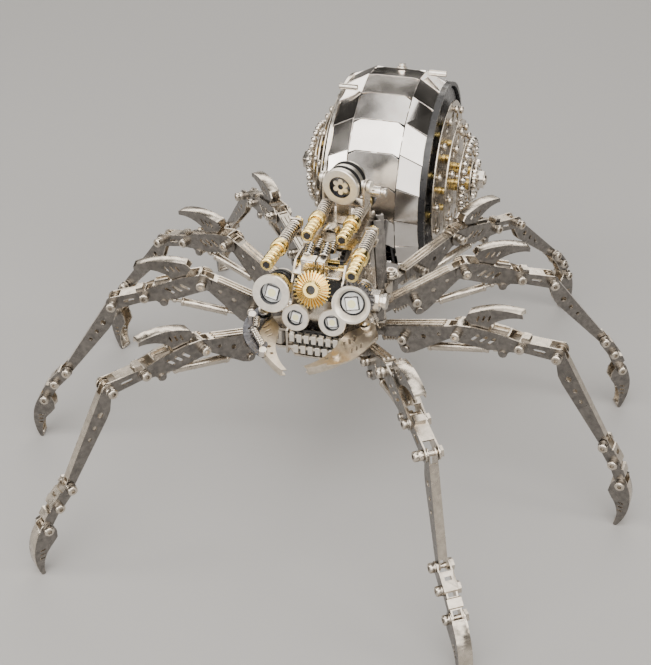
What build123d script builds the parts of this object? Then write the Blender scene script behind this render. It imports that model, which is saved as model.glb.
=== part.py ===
"""A posable eight-legged robot spider, built from folded sheet metal, screws and turned brass.

Millimetres. The robot faces -Y, +X is its own left and +Z is up. The origin lies on the floor,
in the middle of the ground that the robot covers. Legs are numbered from front to rear.

Each leg is drawn along its own +X, from the hip outwards, and turned into place afterwards.
The links of a leg are drawn in side view (x along the link, z above it) and stretched across y.
"""

import math
import os

from build123d import *

# Sheet, screws and clearances
SHEET = 0.6
PIN_GAP = 0.05
SHANK_R = 1.0
HEAD_R = 1.9
HEAD_L = 1.6
NUT_ACROSS = 4.0
NUT_L = 1.3
SOCKET_ACROSS = 1.6
SOCKET_DEPTH = 1.0
HOLE_R = SHANK_R + PIN_GAP

# Body levels and hips
HIP_X = 16.5
HIP_Y = (-35.3, -24.0, -10.0, 11.0)
HIP_Z = 66.0
HUB_R = 3.2
HUB_HALF = 3.2
HIP_PIN_R = 1.5
PLATE_T = 0.8
BELLY_BOTTOM = 61.6
DECK_BOTTOM = 69.6
DECK_TOP = DECK_BOTTOM + PLATE_T
PLATE_FRONT = -43.0
PLATE_REAR = 20.0
PLATE_HALF = 12.0
LUG_R = 3.4
STAND_BORE_R = 1.6
STAND_BORE_L = 6.0
STAND_Y = -12.0

# Leg links, joint to joint
ARM_L = 38.0
ARM_HALF = 2.5
ARM_PIVOT = (14.6, -7.4)
THIGH_L = 24.8
THIGH_HALF = 3.4
THIGH_EAR = (18.2, -4.4)
TIBIA_L = 14.4
TIBIA_HALF = 2.8
KNEE_X = THIGH_L + TIBIA_L
SHIN_L = 42.4
SHIN_HALF = 1.7
ANKLE_L = 8.4
ANKLE_HALF = 2.7
TOE_L = 10.1
TOE_BEND = -9.0
CLAW_L = 20.7
CLAW_BEND = -31.0
CLAW_TIP_R = 0.8
EAR_PIN_R = 0.8

# How each leg stands: yaw of the leg, then pitch of thigh, shin and foot, in degrees
STANCE = {
    "right_leg_1": (230.0, -4.5, -61.2, -46.5),
    "right_leg_2": (190.5, -17.5, -56.5, -47.0),
    "right_leg_3": (160.5, -16.0, -51.5, -60.0),
    "right_leg_4": (130.5, -13.5, -47.8, -46.0),
    "left_leg_1": (-57.0, -13.0, -70.5, -31.5),
    "left_leg_2": (-7.0, -0.5, -60.5, -58.5),
    "left_leg_3": (27.0, -16.0, -52.0, -55.0),
    "left_leg_4": (57.5, -11.5, -44.0, -52.0),
}

# Head
CHEEK_X = 9.4
CHEEK_T = 0.8
CHEEK_OUT = CHEEK_X + CHEEK_T
CHEEK_TOP = 101.0
BRIDGE_TOP = CHEEK_TOP + PLATE_T
FACE_Y = -40.0
BIG_EYE = (15.5, -49.0, 93.0)
BIG_EYE_R = 7.4
SMALL_EYE = (7.2, -46.0, 81.6)
SMALL_EYE_R = 5.4
EYE_TILT = 14.0
EYE_BARREL_R = 4.9
CROWN = (0.0, -48.0, 96.6)
CROWN_R = 7.2
CROWN_TEETH = 30
CROWN_TILT = 26.0
CROWN_SHAFT_R = 1.6
OUTER_NOZZLE = ((16.2, -50.5, 106.4), (15.0, -12.0, 104.8))
INNER_NOZZLE = ((6.8, -29.5, 108.2), (7.4, 9.0, 105.8))
NOZZLE_ROD_R = 1.1
NOZZLE_LUG_AT = 33.6
NOZZLE_STEPS = (
    (2.6, 2.5), (0.8, 1.9), (2.2, 2.5), (0.8, 1.9), (2.2, 2.5), (0.8, 1.9),
    (2.0, 2.4), (0.8, 2.0), (4.6, 3.2),
)
TURRET = (0.0, -7.0, 118.0)
TURRET_R = 7.5
TURRET_YAW = 10.0
TURRET_PIVOT_AT = 5.6
TRUNNION_R = 1.2
MOUTH_Y = -45.0
JAW_PIVOT = (21.0, -44.0, 78.0)
JAW_TIP = (1.5, -61.5, 70.0)
JAW_PIN_R = 1.2
JAW_OPEN = {"left": 0.0, "right": 12.0}

# Abdomen drum, with its axle along X
DRUM_Y = 83.8
DRUM_Z = 80.0
DRUM_R = 45.7
DRUM_SIDES = 20
TILE_T = 0.9
TILE_GAP = 0.35
CENTRE_HALF = 11.0
SIDE_HALF = 21.0
RIM_R = 41.6
RIM_TWIST = 4.5
TUBE_R = 5.0
AXLE_R = 1.5
HUB_X = 43.0
WAIST = (0.0, 23.0, 73.6)
WAIST_PIN_R = 1.5
WAIST_HALF = 5.6

# Rotor stages, from the drum outwards: x of the disc, its radius, beads, bead circle
ROTOR_BASE_X = 21.3
ROTOR_T = 0.8
ROTOR_STAGES = (
    (24.6, 34.0, 14, 30.6),
    (28.6, 26.0, 12, 22.6),
    (32.6, 17.0, 8, 13.6),
    (36.4, 9.6, 6, 6.8),
)


# ---------------------------------------------------------------- shared helpers


def across(sketch, low, high):
    """Stretch a side view (x, z) across the width, from y = low to y = high."""
    return extrude(Plane.XZ * Pos(0, 0, -high) * sketch, high - low, dir=(0, -1, 0))


def upright(sketch, low, high):
    """Stretch a plan view (x, y) upwards, from z = low to z = high."""
    return extrude(Pos(0, 0, low) * sketch, high - low, dir=(0, 0, 1))


def both_sides(sketch, inner, outer):
    """The same side view as two plates, one on each side of the link."""
    return across(sketch, inner, outer) + across(sketch, -outer, -inner)


def outline(*points):
    """A flat shape with straight edges through the given points, facing up either way round."""
    turning = 0.0
    for (x0, y0), (x1, y1) in zip(points, points[1:] + points[:1]):
        turning += x0 * y1 - x1 * y0
    return Polygon(*(points if turning > 0 else points[::-1]), align=None)


def disc(x, z, radius):
    return Pos(x, z) * Circle(radius)


def slot(x, z, length, width, angle):
    return Pos(x, z) * Rot(0, 0, angle) * SlotOverall(length, width)


def rod(x, z, radius, low, high):
    """A round bar across the link."""
    return across(disc(x, z, radius), low, high)


def turned(steps, bore=0.0, chamfer=0.15):
    """A turned piece along +X: steps of (length, radius), each with chamfered edges."""
    points = [(0.0, 0.0)]
    x = 0.0
    for length, radius in steps:
        cut = min(chamfer, length / 3, radius / 3)
        points += [(x, radius - cut), (x + cut, radius)]
        x += length
        points += [(x - cut, radius), (x, radius - cut)]
    points.append((x, 0.0))
    piece = revolve(outline(*points), Axis.X)
    if bore:
        piece -= Rot(0, 90, 0) * Pos(0, 0, x / 2) * Cylinder(bore, 2 * x)
    return piece


def aim(start, end):
    """The place whose +X runs from start towards end, with +Z as upright as that allows."""
    along = (Vector(*end) - Vector(*start)).normalized()
    side = Vector(0, 0, 1).cross(along).normalized()
    return Plane(origin=start, x_dir=along, z_dir=along.cross(side)).location


def pitched(x, z, degrees):
    """A place in a link's side view, turned up by the given pitch."""
    return Pos(x, 0, z) * Rot(0, -degrees, 0)


def torus_row(start, turns, pitch, radius, wire, lean):
    """The turns of a close spring whose axis runs along +X."""
    ring = Rot(0, 90, 0) * Rot(lean, 0, 0) * Torus(radius, wire)
    return [Pos(start + pitch * (i + 0.5), 0, 0) * ring for i in range(turns)]


def bolt(x, z, half, collar=0.0):
    """A socket screw across a joint: nut at the low side, collar and head at the high side."""
    seat = half + collar
    piece = rod(x, z, SHANK_R, -half - NUT_L - 0.4, seat + HEAD_L - SOCKET_DEPTH)
    nut = Pos(x, z) * RegularPolygon(NUT_ACROSS / 2, 6, major_radius=False)
    piece += across(nut, -half - NUT_L, -half)
    if collar:
        piece += rod(x, z, HEAD_R, half, seat - 0.25)
        piece += rod(x, z, HEAD_R - 0.35, seat - 0.25, seat)
    head = rod(x, z, HEAD_R, seat, seat + HEAD_L)
    rim = head.edges().sort_by(Axis.Y)[-1]
    head = chamfer(rim, 0.3)
    socket = Pos(x, z) * RegularPolygon(SOCKET_ACROSS / 2, 6, major_radius=False)
    top = seat + HEAD_L
    return piece + head - across(socket, top - SOCKET_DEPTH, top + 0.1)


def rivet(x, z, radius, half):
    """A plain pin across two plates, with a flat head on each side."""
    pin = rod(x, z, radius, -half, half)
    heads = rod(x, z, radius + 0.6, half, half + 0.7) + rod(x, z, radius + 0.6, -half - 0.7, -half)
    return pin + heads


def placed(location, pieces):
    return [location * piece for piece in pieces]


def mirrored(pieces, plane=Plane.YZ):
    return [mirror(piece, about=plane) for piece in pieces]


# ---------------------------------------------------------------- legs


def arm_pitch(thigh, shin, foot):
    """The pitch of the hip arm that puts the claw's tip on the floor."""

    def rise(length, degrees):
        return length * math.sin(math.radians(degrees))

    drop = rise(KNEE_X, thigh) + rise(SHIN_L, shin) + rise(ANKLE_L, foot)
    drop += rise(TOE_L, foot + TOE_BEND) + rise(CLAW_L, foot + CLAW_BEND)
    return math.degrees(math.asin((CLAW_TIP_R - HIP_Z - drop) / ARM_L))


def leg_places(leg):
    """The frames of a leg: the hip, then each link's own frame, as locations."""
    yaw, thigh, shin, foot = STANCE[leg]
    side = 1 if leg.startswith("left") else -1
    number = int(leg[-1])
    hip = Pos(side * HIP_X, HIP_Y[number - 1], HIP_Z) * Rot(0, 0, yaw)
    rise = arm_pitch(thigh, shin, foot)
    arm = hip * pitched(0, 0, rise)
    upper = arm * pitched(ARM_L, 0, thigh - rise)
    lower = upper * pitched(KNEE_X, 0, shin - thigh)
    claw = lower * pitched(SHIN_L, 0, foot - shin)
    pivot = (arm * Pos(ARM_PIVOT[0], 0, ARM_PIVOT[1])).position
    ear = (upper * Pos(THIGH_EAR[0], 0, THIGH_EAR[1])).position
    return {
        "hip": hip,
        "arm": arm,
        "thigh": upper,
        "shin": lower,
        "foot": claw,
        "strut": aim(tuple(ear), tuple(pivot)),
        "strut_length": (pivot - ear).length,
        "arm_pitch": rise,
    }


def hip_arm(rise):
    """The arm from the hip pin to the knuckle, in the leg's hip frame."""
    hub = Cylinder(HUB_R, 2 * HUB_HALF)
    tongue_half = ARM_HALF - SHEET
    tongue = Pos(6.0, 0, 0) * Box(12.0, 2 * tongue_half, 3.2)
    hub += Rot(0, -rise, 0) * tongue
    hub -= Cylinder(HIP_PIN_R + PIN_GAP, 3 * HUB_HALF)

    start = 7.0
    pivot_x, pivot_z = ARM_PIVOT
    side = outline(
        (start, 2.8), (36.0, 2.8), (ARM_L, 2.6), (ARM_L, -2.6), (34.0, -2.8),
        (pivot_x + 3.0, pivot_z - 1.8), (pivot_x, pivot_z - 2.2), (pivot_x - 2.2, pivot_z),
        (11.6, -1.9), (start, -1.9),
    )
    side += disc(ARM_L, 0, 2.6) + disc(pivot_x, pivot_z, 2.2)
    side -= disc(ARM_L, 0, HOLE_R) + disc(15.2, -2.0, HOLE_R)
    side -= disc(30.0, -0.8, 0.8) + disc(23.5, -1.8, 1.0)
    channel = both_sides(side, ARM_HALF - SHEET, ARM_HALF)
    channel += across(outline((start, 2.2), (34.5, 2.2), (34.5, 2.8), (start, 2.8)), -ARM_HALF, ARM_HALF)
    for y in (-1.7, 0.0, 1.7):
        rib = outline((start + 1, 2.8), (33.0, 2.8), (32.4, 3.3), (start + 1.6, 3.3))
        channel += across(rib, y - 0.35, y + 0.35)

    stub = turned([(1.0, 1.5)])
    stubs = [
        Pos(pivot_x, sign * ARM_HALF, pivot_z) * Rot(0, 0, sign * 90) * stub for sign in (-1, 1)
    ]
    guide = Pos(5.2, 0, -3.4) * turned([(0.8, 1.6), (7.6, 0.9), (0.8, 1.6)], chamfer=0.1)
    turns = [Pos(0, 0, -3.4) * ring for ring in torus_row(6.2, 6, 1.2, 1.35, 0.33, 12)]
    middle = bolt(15.2, -2.0, ARM_HALF, collar=1.6)
    tilted = [channel, middle, guide] + stubs + turns
    return [hub] + placed(Rot(0, -rise, 0), tilted)


def folded_blade():
    """The thorn on the thigh: two crescent plates under one curved strip."""
    half = 2.3
    root, heel, back = (6.0, 3.8), (11.5, 3.8), (3.4, 9.2)
    low_tip, high_tip = (24.6, 12.2), (24.2, 13.9)
    lower = ThreePointArc((12.4, 6.2), (17.0, 10.0), low_tip)
    upper = ThreePointArc(high_tip, (13.6, 13.4), back)
    edges = [
        Line(root, heel), Line(heel, (12.4, 6.2)), lower, Line(low_tip, high_tip), upper,
        Line(back, (2.4, 6.8)), Line((2.4, 6.8), root),
    ]
    crescent = make_face(edges)
    for i in range(3):
        crescent -= slot(7.4 + 2.2 * i, 8.0 + 0.6 * i, 2.8, 0.7, 72)
    inner_back = (3.7, 8.7)
    strip = make_face([
        upper, Line(back, inner_back), ThreePointArc(inner_back, (13.6, 12.8), (24.3, 13.3)),
        Line((24.3, 13.3), high_tip),
    ])
    return both_sides(crescent, half - SHEET, half) + across(strip, -half, half)


def thigh():
    """Knuckle to knee: slotted thigh plates, the thorn and the shorter channel behind the knee."""
    inner = THIGH_HALF - SHEET
    ear_x, ear_z = THIGH_EAR
    side = outline(
        (0, 3.7), (7.0, 4.4), (17.0, 3.9), (THIGH_L, 2.5), (THIGH_L, -2.5), (21.0, -2.9),
        (ear_x, ear_z - 1.8), (ear_x - 2.4, -3.4), (12.0, -4.2), (4.0, -3.8), (0, -3.7),
    )
    side += disc(0, 0, 3.7) + disc(THIGH_L, 0, 2.5) + disc(ear_x, ear_z, 1.8)
    side -= disc(0, 0, HOLE_R) + disc(THIGH_L, 0, HOLE_R)
    side -= disc(ear_x, ear_z, EAR_PIN_R + PIN_GAP)
    for i in range(3):
        side -= slot(7.2 + 3.3 * i, 0.1, 4.4, 1.1, 48)
    plates = both_sides(side, inner, THIGH_HALF)
    strap = disc(0, 0, 3.7) - disc(0, 0, 3.1)
    strap &= outline((0, 0), (6, 6), (1.6, 6), (-1.4, 6))
    plates += across(strap, -THIGH_HALF, THIGH_HALF)
    plates += across(outline((6.0, 3.2), (20.0, 3.2), (20.0, 3.8), (6.0, 3.8)), -inner, inner)
    for y in (-1.3, 1.3):
        rail = outline((12.6, 3.8), (19.4, 3.8), (19.0, 4.9), (13.2, 4.9))
        plates += across(rail, y - 0.4, y + 0.4)
    tab = outline((24.4, 2.3), (28.0, 2.3), (27.6, 3.8), (24.8, 3.8))

    tibia_side = outline((21.6, 2.2), (KNEE_X, 2.8), (KNEE_X, -2.8), (21.6, -2.2))
    tibia_side += disc(THIGH_L, 0, 2.3) + disc(KNEE_X, 0, 2.8)
    tibia_side -= disc(THIGH_L, 0, HOLE_R) + disc(KNEE_X, 0, HOLE_R)
    tibia_side -= slot(32.0, 0, 4.6, 1.2, 0)
    tibia = both_sides(tibia_side, TIBIA_HALF - SHEET, TIBIA_HALF)
    web = outline((24.0, 1.8), (35.4, 2.0), (35.4, 2.6), (24.0, 2.4))
    tibia += across(web, -TIBIA_HALF, TIBIA_HALF)
    tibia += across(tab, -2.0, 2.0)
    return [
        plates,
        folded_blade(),
        tibia,
        bolt(0, 0, THIGH_HALF, collar=1.8),
        bolt(THIGH_L, 0, THIGH_HALF, collar=0.6),
        bolt(KNEE_X, 0, TIBIA_HALF, collar=2.2),
        rivet(ear_x, ear_z, EAR_PIN_R, THIGH_HALF),
    ]


def strut(length):
    """The slim ram under the thigh, from its eye on the thigh to the ball in the arm."""
    eye = Rot(0, 150, 0) * (rod(0, 0, 1.7, -1.3, 1.3) - rod(0, 0, EAR_PIN_R + PIN_GAP, -2, 2))
    neck = Pos(1.2, 0, 0) * turned([(1.8, 0.7), (1.5, 1.2), (2.2, 0.7)])
    barrel_start = 6.6
    rod_length = 9.0
    barrel_length = length - barrel_start - rod_length
    barrel = Pos(barrel_start, 0, 0) * turned(
        [(1.0, 1.9), (barrel_length - 2.2, 1.7), (1.2, 1.9)]
    )
    ram = Pos(length - rod_length, 0, 0) * turned([(rod_length - 1.2, 0.75)])
    ball = Pos(length, 0, 0) * Sphere(1.5)
    return [eye + neck, barrel, ram + ball]


def shin():
    """The long kite-shaped shin, folded along its front edge."""
    side = outline(
        (0, 2.1), (SHIN_L, 1.8), (SHIN_L, -1.8), (12.6, -4.6), (9.0, -4.6), (1.2, -2.1),
    )
    side += disc(0, 0, 2.1) + disc(SHIN_L, 0, 1.8)
    side -= disc(0, 0, HOLE_R) + disc(SHIN_L, 0, HOLE_R)
    side -= disc(11.3, -1.2, 1.15) + disc(16.9, -1.0, 0.9) + disc(21.9, -0.8, 0.75)
    piece = both_sides(side, SHIN_HALF - SHEET, SHIN_HALF)
    fold = outline((3.2, 1.5), (39.4, 1.25), (39.4, 1.85), (3.2, 2.1))
    piece += across(fold, -SHIN_HALF, SHIN_HALF)
    for x in (0, SHIN_L):
        washer = disc(x, 0, 1.7) - disc(x, 0, HOLE_R)
        piece += both_sides(washer, SHIN_HALF, SHIN_HALF + 0.3)
    return [piece]


def claw():
    """The last talon, folded along its outer curve."""
    half = ANKLE_HALF
    inner = half - SHEET
    heel, crown = (-1.9, -1.8), (0.0, 2.6)
    outer = ThreePointArc(crown, (11.0, 4.3), (CLAW_L + 0.5, 0.62))
    inside = ThreePointArc((CLAW_L + 0.1, -0.79), (14.0, -0.2), (7.6, -2.9))
    edges = [
        outer, ThreePointArc((CLAW_L + 0.5, 0.62), (CLAW_L + 0.8, 0), (CLAW_L + 0.1, -0.79)), inside,
        Line((7.6, -2.9), (4.6, -4.5)), Line((4.6, -4.5), (1.4, -3.9)), Line((1.4, -3.9), heel),
        ThreePointArc(heel, (-2.5, 0.5), crown),
    ]
    side = make_face(edges) - disc(0, 0, HOLE_R)
    for i in range(3):
        side -= slot(9.6 + 1.9 * i, 1.1 - 0.1 * i, 2.2, 0.6, 72)
    piece = both_sides(side, inner, half)
    strip = make_face([
        outer, Line((CLAW_L + 0.5, 0.62), (CLAW_L, 0.1)),
        ThreePointArc((CLAW_L, 0.1), (11.0, 3.7), (0.6, 2.0)), Line((0.6, 2.0), crown),
    ])
    piece += across(strip, -half, half)
    return piece + rod(CLAW_L, 0, CLAW_TIP_R, -half, half)


def foot():
    """Two ankle brackets and the talon, held by three screws."""
    outer, middle, inner = ANKLE_HALF, ANKLE_HALF - SHEET, ANKLE_HALF - 2 * SHEET
    side = outline((0, 2.2), (ANKLE_L, 2.2), (ANKLE_L, -2.2), (0, -2.2))
    side += disc(0, 0, 2.2) + disc(ANKLE_L, 0, 2.2)
    side -= disc(0, 0, HOLE_R) + disc(ANKLE_L, 0, HOLE_R)
    ankle = both_sides(side, middle, outer)
    ankle += across(outline((2.6, 2.2), (10.2, 2.2), (9.8, 2.8), (2.8, 2.8)), -outer, outer)
    ankle -= Pos(5.4, 0, 2.4) * Box(1.4, 2.6, 2.0)

    toe_side = outline((0, 2.0), (TOE_L, 2.0), (TOE_L, -2.0), (0, -2.0))
    toe_side += disc(0, 0, 2.0) + disc(TOE_L, 0, 2.0)
    toe_side -= disc(0, 0, HOLE_R) + disc(TOE_L, 0, HOLE_R)
    toe = both_sides(toe_side, inner, middle)
    toe += across(outline((3.0, 1.4), (7.6, 1.4), (7.6, 2.0), (3.0, 2.0)), -middle, middle)
    toe += across(outline((3.2, 2.0), (7.2, 2.0), (6.8, 3.0), (3.6, 3.0)), -outer, outer)

    toe_place = pitched(ANKLE_L, 0, TOE_BEND)
    claw_place = toe_place * pitched(TOE_L, 0, CLAW_BEND - TOE_BEND)
    return [
        ankle,
        toe_place * toe,
        claw_place * claw(),
        bolt(0, 0, outer, collar=0.7),
        bolt(ANKLE_L, 0, outer, collar=0.7),
        claw_place * bolt(0, 0, outer, collar=0.7),
    ]


def leg(name):
    """One whole leg: its five bodies, each a list of solids in the robot's frame."""
    places = leg_places(name)
    flip = name.startswith("left")
    parts = {
        "hip_arm": (places["hip"], hip_arm(places["arm_pitch"])),
        "thigh": (places["thigh"], thigh()),
        "strut": (places["strut"], strut(places["strut_length"])),
        "shin": (places["shin"], shin()),
        "foot": (places["foot"], foot()),
    }
    built = {}
    for part_name, (place, pieces) in parts.items():
        if flip:
            pieces = mirrored(pieces, Plane.XZ)
        built[f"{name}_{part_name}"] = placed(place, pieces)
    return built


# ---------------------------------------------------------------- chassis


def plate_outline():
    """The plan of the belly and deck plates: a spine with a round lug at each hip."""
    plan = outline(
        (-PLATE_HALF + 3, PLATE_FRONT), (PLATE_HALF - 3, PLATE_FRONT),
        (PLATE_HALF, PLATE_FRONT + 4), (PLATE_HALF, 14.0), (7.0, PLATE_REAR),
        (-7.0, PLATE_REAR), (-PLATE_HALF, 14.0), (-PLATE_HALF, PLATE_FRONT + 4),
    )
    for y in HIP_Y:
        plan += Pos(0, y) * Rectangle(2 * HIP_X, 2 * LUG_R)
        for side in (-1, 1):
            plan += disc(side * HIP_X, y, LUG_R)
            plan -= disc(side * HIP_X, y, HIP_PIN_R + PIN_GAP)
    return plan


def belly_plate():
    """The lower plate, with a plain socket in its middle for a display stand."""
    plan = plate_outline()
    for y in (-30.0, 0.5):
        plan -= slot(0, y, 12.0, 5.0, 90)
    plan -= disc(0, STAND_Y, STAND_BORE_R)
    plate = upright(plan, BELLY_BOTTOM, BELLY_BOTTOM + PLATE_T)
    boss = disc(0, STAND_Y, 3.2) - disc(0, STAND_Y, STAND_BORE_R)
    return [plate + upright(boss, BELLY_BOTTOM, BELLY_BOTTOM + STAND_BORE_L)]


def deck_plate():
    """The upper plate over the hips, with side wings for the rails and ears for the waist."""
    plan = plate_outline() + Pos(0, 1.4) * Rectangle(33.0, 9.0)
    for x in (-5.0, 5.0):
        for y in (-33.0, -3.0, 4.0):
            plan -= disc(x, y, 1.5)
    deck = upright(plan, DECK_BOTTOM, DECK_TOP)
    waist_y, waist_z = WAIST[1:]
    ear = outline(
        (13.0, DECK_TOP), (19.0, DECK_TOP), (waist_y + 3.2, waist_z - 2.4), (waist_y + 3.2, waist_z),
        (waist_y, waist_z + 3.2), (18.0, waist_z + 3.2), (13.0, DECK_TOP + 3.0),
    )
    ear += disc(waist_y, waist_z, 3.2)
    ear -= disc(waist_y, waist_z, WAIST_PIN_R + PIN_GAP)
    ear_plate = Pos(WAIST_HALF + 0.4, 0, 0) * extrude(Plane.YZ * ear, 1.0, dir=(1, 0, 0))
    return [deck, ear_plate] + mirrored([ear_plate])


def hip_pin():
    """A hip pin with its socket head on the deck and its nut under the belly."""
    length = DECK_TOP - BELLY_BOTTOM + 2.6
    pin = Pos(0, 0, (DECK_TOP + BELLY_BOTTOM) / 2) * Cylinder(HIP_PIN_R, length)
    head = upright(Circle(2.7), DECK_TOP, DECK_TOP + 1.5)
    head += upright(Circle(2.0), DECK_TOP + 1.5, DECK_TOP + 2.1)
    socket = upright(RegularPolygon(1.1, 6, major_radius=False), DECK_TOP + 1.0, DECK_TOP + 3)
    nut = upright(RegularPolygon(2.4, 6, major_radius=False), BELLY_BOTTOM - 1.4, BELLY_BOTTOM)
    return pin + (head - socket) + nut


def waist_pin():
    """The pin across the waist ears, with a button head on each side."""
    half = WAIST_HALF + 1.4
    pin = turned([(2 * half, WAIST_PIN_R)], chamfer=0.05)
    button = turned([(1.2, 2.5)], chamfer=0.4)
    solid = pin + Pos(-1.2, 0, 0) * button + Pos(2 * half, 0, 0) * button
    return Pos(-half, WAIST[1], WAIST[2]) * solid


def crown_place():
    """The crown gear's frame: +X runs back along its shaft."""
    tilt = math.radians(CROWN_TILT)
    x, y, z = CROWN
    return aim(CROWN, (x, y + math.cos(tilt), z - math.sin(tilt)))


def jaw_place(opened=0.0):
    """The left jaw's frame: +X runs to the fang's tip and +Z along the hinge pin."""
    return aim(JAW_PIVOT, JAW_TIP) * Rot(0, 0, opened)


def chassis_fasteners():
    """Hip pins, plate spacers, the waist pin, the jaw pins and the crown gear's shaft."""
    pins = [
        Pos(side * HIP_X, y, 0) * hip_pin() for y in HIP_Y for side in (-1, 1)
    ]
    spacer = upright(
        RegularPolygon(2.2, 6, major_radius=False), BELLY_BOTTOM + PLATE_T, DECK_BOTTOM
    )
    spacers = [Pos(x, y, 0) * spacer for x in (-8.0, 8.0) for y in (-39.0, 15.0)]
    shaft = crown_place() * Pos(2.4, 0, 0) * turned([(14.0, CROWN_SHAFT_R)])
    block = crown_place() * Pos(12.6, 0, 0) * Box(3.0, 2 * CHEEK_X, 6.0)
    block -= crown_place() * Rot(0, 90, 0) * Cylinder(CROWN_SHAFT_R + PIN_GAP, 80)
    jaw_pin = Cylinder(JAW_PIN_R, 7.6) + Pos(0, 0, 4.4) * Cylinder(2.1, 1.2)
    jaw_pin -= upright(RegularPolygon(0.9, 6, major_radius=False), 4.2, 6)
    jaw_pin += upright(RegularPolygon(1.8, 6, major_radius=False), -4.0, -3.2)
    left_pin = jaw_place() * jaw_pin
    return pins + spacers + [waist_pin(), shaft, block, left_pin] + mirrored([left_pin])


# ---------------------------------------------------------------- head


def cheek_plate():
    """The perforated upright plate on the left side of the head."""
    side = outline(
        (-44.0, DECK_TOP), (-44.0, 74.2), (-40.6, 75.6), (-40.6, 94.0), (-35.0, CHEEK_TOP), (8.0, CHEEK_TOP),
        (11.0, 95.0), (9.0, 84.0), (11.0, 76.0), (11.0, DECK_TOP),
    )
    for row, z in enumerate((75.5, 81.5)):
        for i in range(6):
            side -= disc(-33.0 + 7.0 * i - 2.0 * row, z, 1.6)
    side -= slot(-12.0, 90.0, 24.0, 4.0, 0)
    plate = extrude(Plane.YZ * side, CHEEK_T, dir=(1, 0, 0))
    return Pos(CHEEK_X, 0, 0) * plate


def face_plate():
    """The plate behind the small eyes, between the cheeks."""
    face = outline(
        (-CHEEK_X, DECK_TOP), (CHEEK_X, DECK_TOP), (CHEEK_X, 87.0), (-CHEEK_X, 87.0)
    )
    hole_z = SMALL_EYE[2] - (FACE_Y - SMALL_EYE[1]) * math.tan(math.radians(EYE_TILT))
    for side in (-1, 1):
        face -= disc(side * SMALL_EYE[0], hole_z, 1.8)
        for x in (2.0, 6.0):
            face -= disc(side * x, 74.0, 1.2)
    return Pos(0, FACE_Y + PLATE_T, 0) * across(face, -PLATE_T, 0)


def nozzle_place(ends, side=1):
    """A nozzle's frame: +X runs back along its rod, from the open tip."""
    (x0, y0, z0), (x1, y1, z1) = ends
    return aim((side * x0, y0, z0), (side * x1, y1, z1))


def nozzle_lugs(ends, width):
    """A strip across the bridge with one upright lug for the rod of each nozzle of a pair."""
    foot_point = (nozzle_place(ends) * Pos(NOZZLE_LUG_AT, 0, 0)).position
    x, y, z = tuple(foot_point)
    strip = Pos(0, y, CHEEK_TOP + PLATE_T / 2) * Box(2 * (x + width / 2), 5.0, PLATE_T)
    height = z + 2.8 - BRIDGE_TOP
    for side in (-1, 1):
        strip += Pos(side * x, y, BRIDGE_TOP + height / 2) * Box(width, 1.1, height)
    for side in (-1, 1):
        strip -= nozzle_place(ends, side) * Rot(0, 90, 0) * Cylinder(NOZZLE_ROD_R + PIN_GAP, 120)
    return strip


def arch_strap():
    """The bright strap that arches over the bridge between the inner nozzles."""
    outer, inner, height = 3.2, 2.6, 3.6
    band = disc(0, height, outer) + Pos(0, height / 2) * Rectangle(2 * outer, height)
    band -= disc(0, height, inner) + Pos(0, height / 2) * Rectangle(2 * inner, height)
    return Pos(0, -20.0, BRIDGE_TOP) * across(band, -2.8, 2.8)


def turret_place():
    """The turret's frame: +X runs back from its front ring."""
    yaw = math.radians(TURRET_YAW)
    x, y, z = TURRET
    return aim(TURRET, (x + math.sin(yaw), y + math.cos(yaw), z))


def turret_yoke():
    """The post and fork that carry the turret's trunnions."""
    fork_base = TURRET[2] - 8.5
    ear = outline((-2.6, -8.6), (2.6, -8.6), (2.6, 0), (-2.6, 0)) + disc(0, 0, 2.6)
    ear -= disc(0, 0, TRUNNION_R + PIN_GAP)
    yoke = across(ear, 8.2, 9.2) + across(ear, -9.2, -8.2)
    yoke += Pos(0, 0, -8.2) * Box(5.2, 18.4, 0.7)
    yoke = turret_place() * Pos(TURRET_PIVOT_AT, 0, 0) * yoke
    post = Pos(TURRET[0], TURRET[1] + TURRET_PIVOT_AT, 0) * upright(
        Rectangle(5.0, 4.0), BRIDGE_TOP, fork_base
    )
    return yoke + post


def jaw_bracket():
    """The lug that carries the left jaw's pin, standing off the cheek."""
    plan = disc(0, 0, 3.0) + outline((-2.4, 1.6), (3.0, -1.6), (12.0, -13.0), (2.0, -15.0))
    plan -= disc(0, 0, JAW_PIN_R + PIN_GAP)
    plate = jaw_place() * upright(plan, -3.2, -2.4)
    return plate - Pos(0, -40.0, 80.0) * Box(2 * CHEEK_OUT, 60.0, 60.0)


def mouth_strap():
    """The side strap that holds the ends of the mouth rows."""
    return Pos(CHEEK_OUT + 0.4, -44.4, 70.4) * Box(0.8, 4.8, 10.4)


def head_frame():
    """Cheeks, face plate, top bridge, nozzle lugs, arch strap, turret yoke and jaw lugs."""
    cheek = cheek_plate()
    bridge = Pos(0, -11.0) * Rectangle(2 * CHEEK_OUT, 26.0) - Pos(0, -12.0) * Rectangle(9.0, 12.0)
    bridge = upright(bridge, CHEEK_TOP, BRIDGE_TOP)
    bridge += nozzle_lugs(OUTER_NOZZLE, 4.6) + nozzle_lugs(INNER_NOZZLE, 4.0)
    back = Pos(0, 9.6, 84.0) * Box(2 * CHEEK_X, PLATE_T, 10.0)
    sides = [cheek, jaw_bracket(), mouth_strap()]
    return sides + mirrored(sides) + [face_plate(), bridge, back, arch_strap(), turret_yoke()]


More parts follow.
